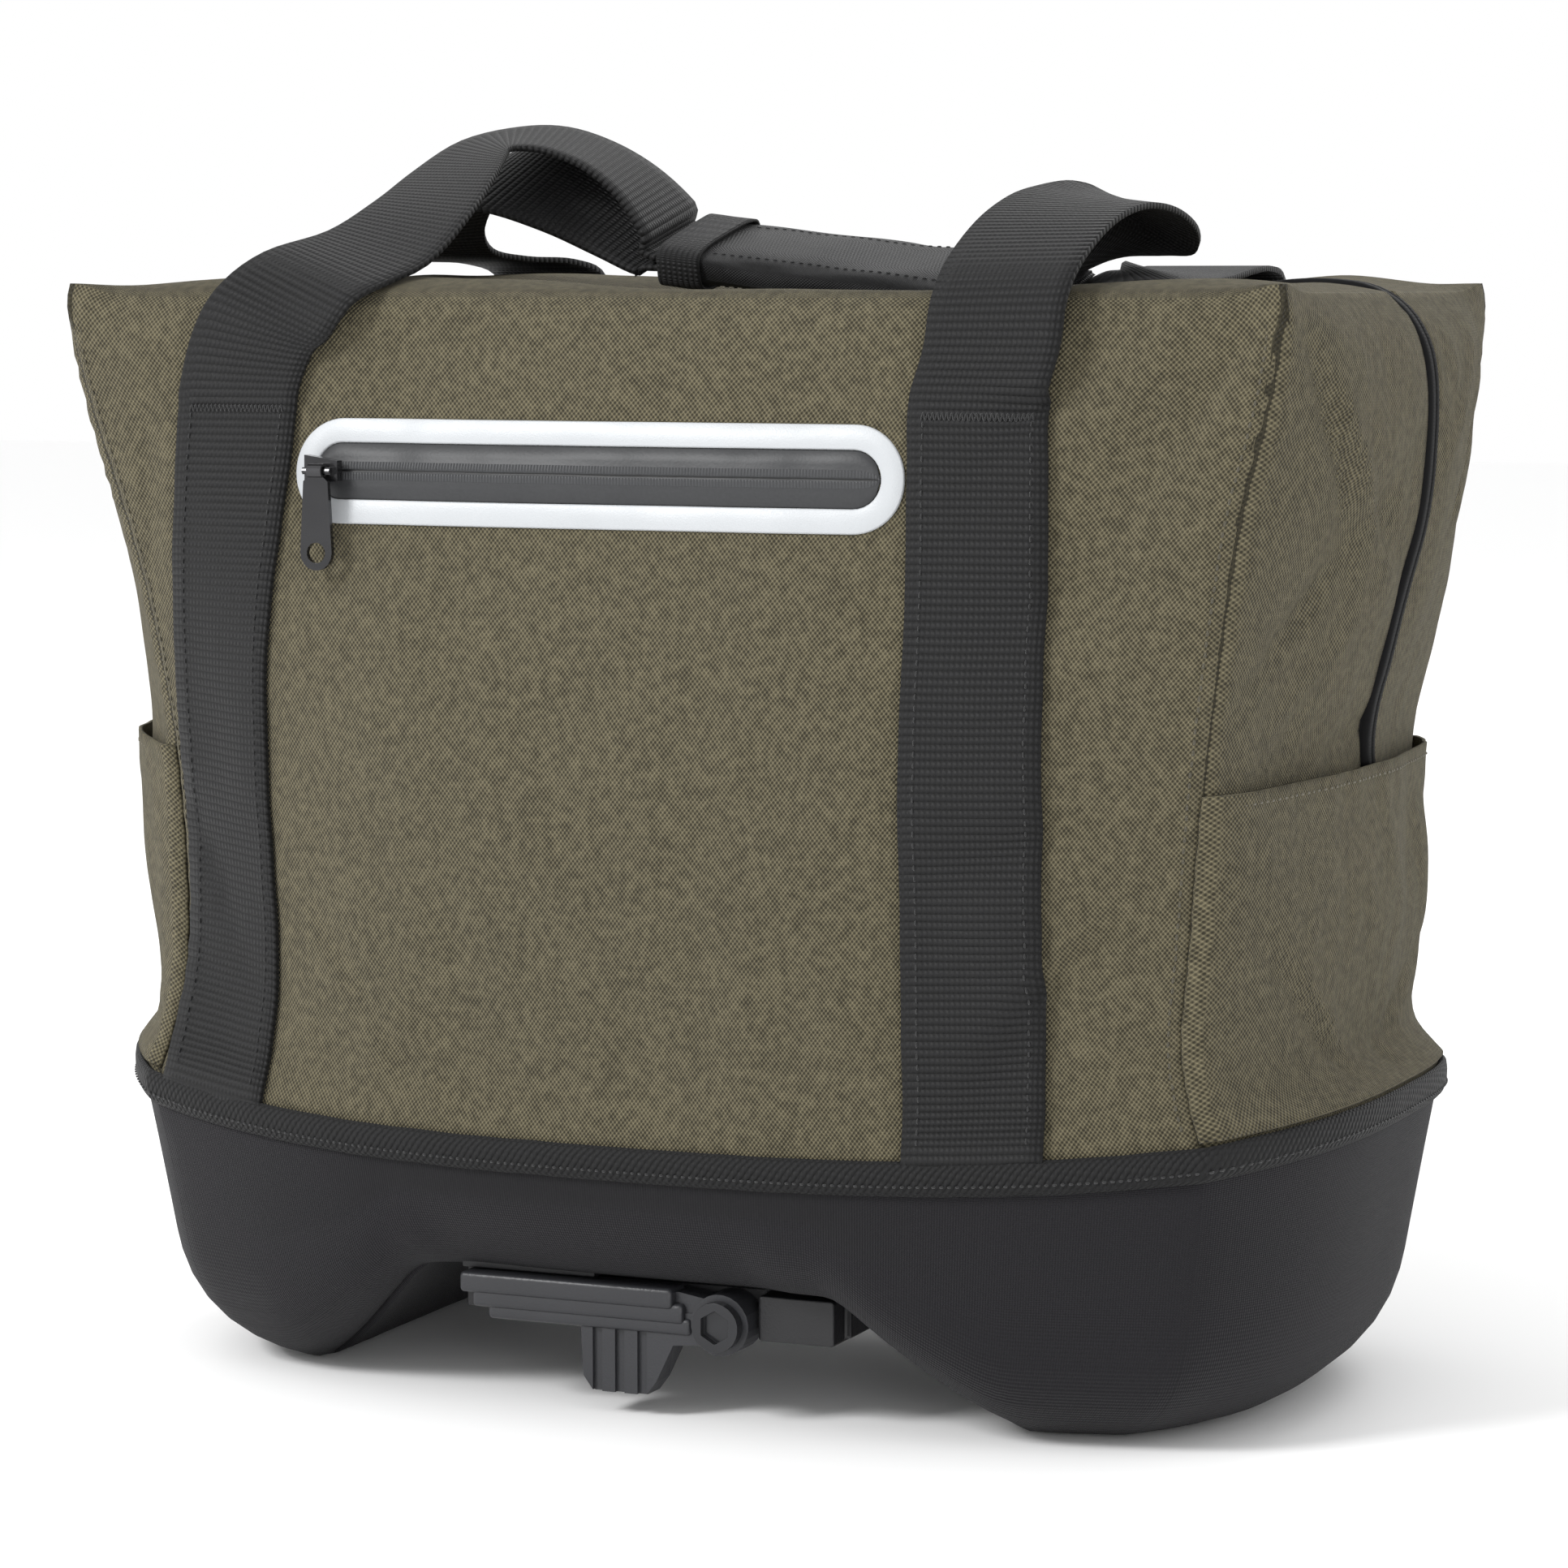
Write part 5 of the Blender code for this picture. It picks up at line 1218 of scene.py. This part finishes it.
class BAG_OT_end_pockets(bpy.types.Operator):
    """Adds the slip pocket on each end, with its turned top edge and its row of stitches"""

    bl_idname = "bag.end_pockets"
    bl_label = "End pockets"

    def execute(self, context):
        cell = looks().cell
        columns = round(2 * MEAN_SEAM_Y * HALF_DEPTH / cell)
        rows = round(POCKET_TOP * FABRIC_HEIGHT / cell)
        seat, thickness, hem = 0.0012, 0.0011, 0.012
        foot, reach = 0.003, 0.992
        stitches_down = 0.0032
        colour = looks().cloth_colour
        material = cloth_paint("pocket_cloth", colour, looks().weave, CLOTH_RELIEF, CLOTH_ROUGHNESS)
        thread = thread_paint("olive_thread", shade(colour, 0.9))
        for side, sign in (("left", -1), ("right", 1)):

            def place(s, t, lift=0.0):
                across = (2 * s - 1) * reach
                height = foot + (POCKET_TOP - foot) * t
                point = wall_point(side, across, height)
                # The pocket's mouth stands a little off the wall behind it.
                gap = seat + 0.0022 * t**3 * (1 - abs(across) ** 4) + lift
                turned = 0.0005 * ease(hem * 1.1, hem * 0.9, (1 - t) * POCKET_TOP * FABRIC_HEIGHT)
                edge = 1 - 0.75 * abs(across) ** 12
                return point + Vector((sign * (gap + turned) * edge, 0, 0))

            obj = panel(
                f"pocket_panel_{side}",
                columns,
                rows,
                place,
                lambda s, t: ((2 * s - 1) * HALF_DEPTH + 0.0004, t * POCKET_TOP * FABRIC_HEIGHT),
            )
            bpy.ops.object.shade_smooth()
            face_away(obj, Vector((0, 0, 0.15)))
            thicken(obj, thickness, 1.0)
            finish_piece(obj, material, nodes=[f"end_pocket_{side}"])
            height_share = 1 - stitches_down / (POCKET_TOP * FABRIC_HEIGHT)
            run = []
            for s in evenly(118, 0.01, 0.99):
                run.append((place(s, height_share, thickness + 0.0001), Vector((sign, 0, 0.1))))
            stitches(f"pocket_stitches_{side}", [run], thread)
        return {"FINISHED"}


def zip_line():
    """Places along the main zip: up the right end, over the lid and down the left end."""
    heights = evenly(44, SLOT_FOOT + 0.004, 0.995)
    places = [("right", height) for height in heights]
    places += [("lid", along) for along in evenly(120, 0.995, -0.995)]
    places += [("left", height) for height in reversed(heights)]
    return places


def zip_frame(places, index):
    """(middle, outward direction) of the main zip at one of its places."""

    def middle(place):
        kind, value = place
        if kind == "lid":
            return lid_point(value, 0.0)
        return wall_point(kind, 0.0, value)

    here = middle(places[index])
    before = middle(places[max(index - 2, 0)])
    after = middle(places[min(index + 2, len(places) - 1)])
    along = (after - before).normalized()
    return here, Vector((0, 1, 0)).cross(along).normalized()


class BAG_OT_main_zip(bpy.types.Operator):
    """Adds the main zip: its tape under the slot, the raised cover over its coil and its slider"""

    bl_idname = "bag.main_zip"
    bl_label = "Main zip"

    def execute(self, context):
        places = zip_line()
        frames = [zip_frame(places, index) for index in range(len(places))]
        smooth = []
        for index in range(len(frames)):
            window = frames[max(index - 3, 0) : index + 4]
            middle = sum((each[0] for each in window), Vector()) / len(window)
            outward = sum((each[1] for each in window), Vector()).normalized()
            smooth.append((middle, outward))
        count = len(smooth)
        widths = [rib.sideways for rib in MAIN_ZIP_SECTION]

        def place(s, t):
            middle, outward = smooth[round(t * (count - 1))]
            rib = MAIN_ZIP_SECTION[round(s * (len(MAIN_ZIP_SECTION) - 1))]
            return middle + outward * rib.out + Vector((0, rib.sideways, 0))

        obj = panel(
            "zip_tape_and_coil",
            len(MAIN_ZIP_SECTION) - 1,
            count - 1,
            place,
            lambda s, t: (t * MAIN_ZIP_LENGTH, between(widths, s)),
        )
        bpy.ops.object.shade_smooth()
        face_away(obj, Vector((0, 0, 0.15)))
        thicken(obj, 0.0006, -1.0)
        material = coated_zip_paint("dark_zip", shade(looks().webbing_colour, 0.9), 0.70, 0.10)
        finish_piece(obj, material, nodes=["main_zip_tape"])
        dress_node("main_zip_slider", metal_paint("main_slider_metal", METAL_COLOUR, 0.30), 0.0007)
        return {"FINISHED"}


def dress_node(node, material, bevel):
    """Gives a solid of the frame its finish, and rounds its edges a little."""
    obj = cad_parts[node]
    for slot in obj.material_slots:
        slot.material = material
    if not obj.material_slots:
        obj.data.materials.append(material)
    weld = obj.modifiers.new("Weld", "WELD")
    weld.merge_threshold = 0.00001
    modifier = obj.modifiers.new("Round", "BEVEL")
    modifier.width = bevel
    modifier.segments = 3
    modifier.limit_method = "ANGLE"
    modifier.angle_limit = math.radians(35)
    modifier.harden_normals = True


def grip_z(x):
    """Height of the grip's middle line, which falls to the right."""
    return GRIP_MIDDLE_Z - (x - (GRIP_X[0] + GRIP_X[1]) / 2) * GRIP_TILT


def rolled(x, y, z):
    """A point of the grip's cross-section at this X, turned by the grip's roll."""
    sine, cosine = math.sin(GRIP_ROLL), math.cos(GRIP_ROLL)
    return Vector((x, y * cosine - z * sine, grip_z(x) + y * sine + z * cosine))


def clear_of_cloth(point, face):
    """Moves a point of the webbing's underside out of the cloth, if it lies inside or too near."""
    outside = 1 if face == "back" else -1
    reach = face_point(point.x, min(point.z, TOP_Z), face).y * outside
    if point.z < TOP_Z + ARM_CLEARANCE and abs(point.y) > HALF_DEPTH * 0.75:
        return Vector((point.x, outside * max(point.y * outside, reach + ARM_CLEARANCE), point.z))
    along = max(min(point.x / CORNER_X, 1.0), -1.0)
    across = max(min(point.y / abs(reach), 1.0), -1.0)
    return Vector((point.x, point.y, max(point.z, lid_point(along, across).z + ARM_CLEARANCE)))


def curve_through(rows, share):
    """A point on the smooth curve through evenly numbered rows."""
    place = share * (len(rows) - 1)
    index = min(int(place), len(rows) - 2)
    t = place - index
    a = rows[max(index - 1, 0)]
    b, c = rows[index], rows[index + 1]
    d = rows[min(index + 2, len(rows) - 1)]
    return (b * 2 + (c - a) * t + (a * 2 - b * 5 + c * 4 - d) * t**2 + (b * 3 - a - c * 3 + d) * t**3) / 2


def arm_spine(x, grip_x, arm, face):
    """(middle, half width vector) at each station of a free arm."""
    wall_y = face_point(x, STITCH_Z, face).y
    turned = 1 if face == "front" else -1
    spine = []
    for station in arm:
        place_x = x + (grip_x - x) * station.along
        place = Vector((place_x, wall_y * (1 - station.toward), TOP_Z + HANDLE_RISE * station.rise))
        across = Vector((station.across_x, turned * station.across_y, station.across_z)).normalized()
        spine.append((place, across * WEBBING_HALF))
    return spine


def lean(face, x, up):
    """How far sideways the sewn webbing has moved at a share of its height."""
    return read_table(LEFT_LEAN, "up", "shift", up) if face == "front" and x < 0 else 0.0


def handle_spine(face, left_arm, right_arm, layer):
    """The whole webbing's spine from its left foot to its right foot, and how much of it is sewn down."""
    side = -1 if face == "front" else 1
    width = Vector((WEBBING_HALF, 0, 0))

    def sewn(x):
        rows = []
        for up in evenly(SEWN_ROWS):
            place = x + lean(face, x, up)
            foot = rim_z(place) + STRAP_FOOT_GAP
            rows.append((on_face(place, foot + (STITCH_Z - foot) * up, STRAP_SEAT, face), width))
        return rows

    inside = []
    for x in (GRIP_X[0] - GRIP_LEAD, sum(GRIP_X) / 2, GRIP_X[1] + GRIP_LEAD):
        middle = rolled(x, 0.0, layer)
        inside.append((middle, rolled(x, side * WEBBING_HALF, layer) - middle))
    left = sewn(STRAP_X[0]) + arm_spine(STRAP_X[0], GRIP_X[0], left_arm, face)
    right = sewn(STRAP_X[1]) + arm_spine(STRAP_X[1], GRIP_X[1], right_arm, face)
    right = [(middle, -across) for middle, across in reversed(right)]
    return left + inside + right, SEWN_ROWS + 1


def ribbon(name, face, left_arm, right_arm, layer):
    """One handle as a sheet: two sewn stretches, two free arms and the stretch inside the grip."""
    spine, sewn_count = handle_spine(face, left_arm, right_arm, layer)
    middles, widths = zip(*spine)
    last = len(spine) - 1
    rows = last * ROWS_PER_STATION
    lengths = [0.0]
    for i in range(rows):
        step = curve_through(middles, (i + 1) / rows) - curve_through(middles, i / rows)
        lengths.append(lengths[-1] + step.length)

    def place(s, t):
        across = 2 * s - 1
        row = t * last
        middle = curve_through(middles, t)
        width = curve_through(widths, t).normalized() * WEBBING_HALF
        point = middle + width * across
        if row <= sewn_count - 1 or row >= last - sewn_count + 1:
            up = min(row, last - row) / (sewn_count - 1)
            foot = rim_z(point.x) + STRAP_FOOT_GAP
            return on_face(point.x, foot + (STITCH_Z - foot) * up, STRAP_SEAT, face)
        if abs(middle.y) > 0.030 or middle.z < TOP_Z + 0.012:
            return clear_of_cloth(point, face)
        return point

    def measure(s, t):
        return ((2 * s - 1) * WEBBING_HALF, between(lengths, t))

    obj = panel(name, 8, rows, place, measure)
    bpy.ops.object.shade_smooth()
    sewn_faces = [polygon for polygon in obj.data.polygons if polygon.center.z < STITCH_Z - 0.02]
    outward = sum(polygon.normal.y for polygon in sewn_faces)
    if (outward < 0) != (face == "front"):
        obj.data.flip_normals()
    return obj


class BAG_OT_handles(bpy.types.Operator):
    """Adds the two webbing handles with the stitching that holds them to the panels"""

    bl_idname = "bag.handles"
    bl_label = "Handles"

    def execute(self, context):
        material = webbing_paint("ribbed_webbing", looks().webbing_colour, looks().rib)
        thread = thread_paint("handle_thread", shade(looks().webbing_colour, 1.5))
        below = -GRIP_LAYER_GAP - WEBBING_THICKNESS
        handles = (
            ("handle_front", "front", FRONT_LEFT_ARM, FRONT_RIGHT_ARM, GRIP_LAYER_GAP, "front_handle"),
            ("handle_rear", "back", REAR_LEFT_ARM, REAR_RIGHT_ARM, below, "rear_handle"),
        )
        for name, face, left_arm, right_arm, layer, node in handles:
            obj = ribbon(name, face, left_arm, right_arm, layer)
            thicken(obj, WEBBING_THICKNESS, 1.0)
            finish_piece(obj, material, nodes=[node])
            runs = []
            lift = STRAP_SEAT + WEBBING_THICKNESS + 0.0001
            for x in STRAP_X:
                for side in (-1, 1):
                    run = []
                    for up in evenly(130, 0.02, 0.98):
                        edge = x + lean(face, x, up) + side * (WEBBING_HALF - 0.0042)
                        z = rim_z(edge) + (STITCH_Z - rim_z(edge)) * up
                        run.append((on_face(edge, z, lift, face), face_normal(edge, z, face)))
                    runs.append(run)
                # A dense zigzag across the webbing closes the sewn stretch.
                zigzag = []
                for i, share in enumerate(evenly(46, -0.80, 0.80)):
                    z = STITCH_Z - 0.004 + (0.0011 if i % 2 else -0.0011)
                    place = x + lean(face, x, 0.98) + share * WEBBING_HALF
                    zigzag.append((on_face(place, z, lift, face), face_normal(place, z, face)))
                runs.append([zigzag[0]] + [each for each in zigzag[1:] for _ in range(2)])
            stitches(f"{name}_stitches", runs, thread, width=0.00026)
        return {"FINISHED"}


def sleeve_point(x, turn, half_width, half_height, wobble):
    """A point of the grip's sleeve, whose section is a soft-cornered flat box."""
    cosine, sine = math.cos(turn), math.sin(turn)
    y = half_width * math.copysign(abs(cosine) ** 0.42, cosine)
    z = half_height * math.copysign(abs(sine) ** 0.52, sine)
    ripple = wobble * noise.noise(Vector((x * 70, cosine * 1.4, sine * 1.4)))
    return rolled(x, y * (1 + ripple * 0.4), z * (1 + ripple))


class BAG_OT_grip(bpy.types.Operator):
    """Adds the sleeve round both handles, its ribbed end band and its stitches"""

    bl_idname = "bag.grip"
    bl_label = "Hand grip"

    def execute(self, context):
        start, end = GRIP_X
        inner_width, inner_height, wall = 0.0199, 0.0035, 0.0015
        outer_width, outer_height = inner_width + wall, inner_height + wall

        def sleeve(name, low, high, width, height, columns, wobble):
            return panel(
                name,
                columns,
                40,
                lambda s, t: sleeve_point(low + (high - low) * s, 2 * math.pi * t, width, height, wobble),
                lambda s, t: (low + (high - low) * s, t * 0.1),
            )

        nylon = cloth_paint("grip_nylon", shade(looks().webbing_colour, 1.3), 0.0005, 0.00008, 0.5)
        obj = join("grip_sleeve", [sleeve("grip_sleeve", start, end, outer_width, outer_height, 36, 0.14)])
        face_away(obj, Vector(((start + end) / 2, 0, grip_z((start + end) / 2))))
        thicken(obj, wall * 0.9, -1.0)
        finish_piece(obj, nylon, nodes=["hand_grip"])
        band_width, band_height = outer_width + 0.0009, outer_height + 0.0009
        band = join("grip_end", [sleeve("grip_end", start, start + 0.013, band_width, band_height, 8, 0.05)])
        face_away(band, Vector((start + 0.0065, 0, grip_z(start))))
        thicken(band, 0.0008, 1.0)
        ribbed = webbing_paint("grip_ribs", looks().webbing_colour, 0.0017, lengthwise=False)
        finish_piece(band, ribbed, nodes=["grip_band"])
        runs = []
        for turn_deg in (58, 122, 238, 302):
            turn = math.radians(turn_deg)
            run = []
            for x in evenly(70, start + 0.015, end - 0.003):
                point = sleeve_point(x, turn, outer_width + 0.0001, outer_height + 0.0001, 0.14)
                run.append((point, Vector((0, math.cos(turn), math.sin(turn)))))
            runs.append(run)
        thread = thread_paint("grip_thread", shade(looks().webbing_colour, 2.4))
        stitches("grip_stitches", runs, thread, width=0.00024)
        return {"FINISHED"}


def on_trim(x, rise, lift):
    """A point of the front wall by its place from the middle of the reflective oval."""
    return on_face(TRIM_MIDDLE[0] + x, TRIM_MIDDLE[1] + rise, lift)


def rounded_band(share, length, height):
    """A point at a share of the way round a flat band with round ends."""
    radius = height / 2
    straight = length - height
    arc = math.pi * radius
    distance = (share % 1.0) * (2 * straight + 2 * arc)
    if distance < straight:
        return -straight / 2 + distance, radius
    distance -= straight
    if distance < arc:
        angle = distance / radius
        return straight / 2 + radius * math.sin(angle), radius * math.cos(angle)
    distance -= arc
    if distance < straight:
        return straight / 2 - distance, -radius
    angle = (distance - straight) / radius
    return -straight / 2 - radius * math.sin(angle), -radius * math.cos(angle)


class BAG_OT_front_pocket(bpy.types.Operator):
    """Adds the reflective oval, the coated zip inside it, its slider and its pull"""

    bl_idname = "bag.front_pocket"
    bl_label = "Front pocket zip"

    def execute(self, context):
        def film_place(s, t):
            share, lift = FILM_SECTION[round(t * (len(FILM_SECTION) - 1))]
            shrink = 2 * TRIM_BAND * share
            x, z = rounded_band(s, TRIM_LENGTH - shrink, TRIM_HEIGHT - shrink)
            return on_trim(x, z, lift)

        def film_measure(s, t):
            return (s * 0.4, t * TRIM_BAND)

        film = panel("reflective_oval", 220, len(FILM_SECTION) - 1, film_place, film_measure)
        film = join("reflective_oval", [film])
        face_front(film)
        finish_piece(film, film_paint(looks().film_colour), nodes=["reflective_trim"])
        shrink = 2 * TRIM_BAND + 0.0002
        length = TRIM_LENGTH - shrink
        height = TRIM_HEIGHT - shrink

        def zip_edge(t):
            return ZIP_SECTION[round(t * (len(ZIP_SECTION) - 1))]

        def zip_place(s, t):
            x = -length / 2 + length * s
            over = max(abs(x) - (length - height) / 2, 0.0)
            half = math.sqrt(max((height / 2) ** 2 - over**2, 1e-10))
            share, lift = zip_edge(t)
            return on_trim(x, half * share, lift)

        def zip_measure(s, t):
            return (-length / 2 + length * s, zip_edge(t).share * height / 2)

        tape = panel("pocket_zip", 150, len(ZIP_SECTION) - 1, zip_place, zip_measure)
        bpy.ops.object.shade_smooth()
        face_front(tape)
        finish_piece(tape, coated_zip_paint("coated_zip", ZIP_COLOUR), nodes=["pocket_zip_tape"])
        metal = metal_paint("gunmetal", METAL_COLOUR, 0.24)
        dress_node("pocket_zip_slider", metal, 0.0004)
        dress_node("pocket_zip_pull", metal, 0.0003)
        return {"FINISHED"}


def moulded_bar(name, low, high, bevel):
    """A moulded bar between two corners, with its front face drawn in and its edges rounded."""
    deselect_all()
    bpy.ops.mesh.primitive_cube_add(size=1)
    obj = bpy.context.object
    obj.name = name
    for vertex in obj.data.vertices:
        vertex.co = [high[i] if vertex.co[i] > 0 else low[i] for i in range(3)]
    for polygon in obj.data.polygons:
        polygon.select = polygon.normal.y < -0.9
    bpy.ops.object.mode_set(mode="EDIT")
    bpy.ops.mesh.select_mode(type="FACE")
    bpy.ops.mesh.inset(thickness=bevel * 0.8, depth=bevel * 0.35)
    bpy.ops.mesh.select_mode(type="EDGE")
    bpy.ops.mesh.select_all(action="SELECT")
    bpy.ops.mesh.bevel(offset=bevel * 0.70, segments=4, affect="EDGES")
    bpy.ops.mesh.normals_make_consistent(inside=False)
    bpy.ops.object.mode_set(mode="OBJECT")
    return obj


class BAG_OT_adapter(bpy.types.Operator):
    """Finishes the rack adapter: its housing, its latch lever and the bolt that the latch turns on"""

    bl_idname = "bag.adapter"
    bl_label = "Rack adapter"

    def execute(self, context):
        dark = plastic_paint("housing_plastic", HOUSING_COLOUR, 0.48, 0.00010)
        light = plastic_paint("lever_plastic", LEVER_COLOUR, 0.40, 0.00008)
        steel = metal_paint("bolt_coating", BOLT_COLOUR, 0.34, 0.5)
        dress_node("adapter_housing", dark, 0.0010)
        dress_node("latch_lever", light, 0.0006)
        dress_node("lock_bolt", steel, 0.0004)
        steps = [moulded_bar("lever_step", low, high, 0.0019) for low, high in LEVER_STEPS]
        ribs = join("lever_steps", steps)
        bpy.ops.object.shade_smooth_by_angle(angle=math.radians(40))
        finish_piece(ribs, light, body="latch")
        plate = moulded_bar("housing_plate", *HOUSING_PLATE, 0.0006)
        bpy.ops.object.shade_smooth_by_angle(angle=math.radians(40))
        finish_piece(plate, dark)
        return {"FINISHED"}


def add_light(each):
    """Adds one of the square lights and turns it to the bag's middle."""
    light = bpy.data.lights.new(each.name, "AREA")
    light.shape = "SQUARE"
    light.size = each.size
    light.energy = each.power
    obj = bpy.data.objects.new(each.name, light)
    obj.location = each.place
    toward = Vector(LIGHTS_LOOK_AT) - Vector(each.place)
    obj.rotation_euler = toward.to_track_quat("-Z", "Y").to_euler()
    bpy.context.collection.objects.link(obj)


class BAG_OT_stage(bpy.types.Operator):
    """Adds the floor, the soft studio lights and the camera"""

    bl_idname = "bag.stage"
    bl_label = "Stage"

    def execute(self, context):
        deselect_all()
        bpy.ops.mesh.primitive_plane_add(size=FLOOR_SIZE, location=(0, 0, -FLOOR_DROP))
        floor = context.object
        floor.name = "floor"
        paint = Paint("pale_floor", 0.75, specular=0.2)
        paint.shader.inputs["Base Color"].default_value = (FLOOR_TONE, FLOOR_TONE, FLOOR_TONE, 1)
        floor.data.materials.append(paint.material)
        world = bpy.data.worlds.new("studio")
        world.use_nodes = True
        background = world.node_tree.nodes["Background"]
        background.inputs["Color"].default_value = (1.0, 1.0, 1.0, 1)
        background.inputs["Strength"].default_value = 1.0
        context.scene.world = world
        for light in LIGHTS:
            add_light(light)
        data = bpy.data.cameras.new("camera")
        data.lens = CAMERA_LENS
        data.sensor_width = CAMERA_SENSOR
        camera = bpy.data.objects.new("camera", data)
        camera.location = CAMERA_PLACE
        camera.rotation_euler = (math.radians(CAMERA_TILT_DEG), 0, math.radians(CAMERA_YAW_DEG))
        context.collection.objects.link(camera)
        context.scene.camera = camera
        context.scene.view_settings.view_transform = "Standard"
        return {"FINISHED"}


OPERATORS = (
    BAG_OT_stage,
    BAG_OT_cloth,
    BAG_OT_base,
    BAG_OT_binding,
    BAG_OT_end_pockets,
    BAG_OT_main_zip,
    BAG_OT_handles,
    BAG_OT_grip,
    BAG_OT_front_pocket,
    BAG_OT_adapter,
)


class BAG_PT_panel(bpy.types.Panel):
    bl_label = "Bicycle trunk bag"
    bl_space_type = "VIEW_3D"
    bl_region_type = "UI"
    bl_category = "Bag"

    def draw(self, context):
        column = self.layout.column()
        for name in BagLooks.__annotations__:
            column.prop(context.scene.bag_looks, name)
        for operator in OPERATORS:
            column.operator(operator.bl_idname)


CLASSES = (BagLooks, *OPERATORS, BAG_PT_panel)


def register():
    for each in CLASSES:
        bpy.utils.register_class(each)
    bpy.types.Scene.bag_looks = PointerProperty(type=BagLooks)


def unregister():
    del bpy.types.Scene.bag_looks
    for each in reversed(CLASSES):
        bpy.utils.unregister_class(each)


def main():
    register()
    bpy.ops.bag.stage()
    bpy.ops.bag.cloth()
    bpy.ops.bag.base()
    bpy.ops.bag.binding()
    bpy.ops.bag.end_pockets()
    bpy.ops.bag.main_zip()
    bpy.ops.bag.handles()
    bpy.ops.bag.grip()
    bpy.ops.bag.front_pocket()
    bpy.ops.bag.adapter()


if __name__ == "__main__":
    main()
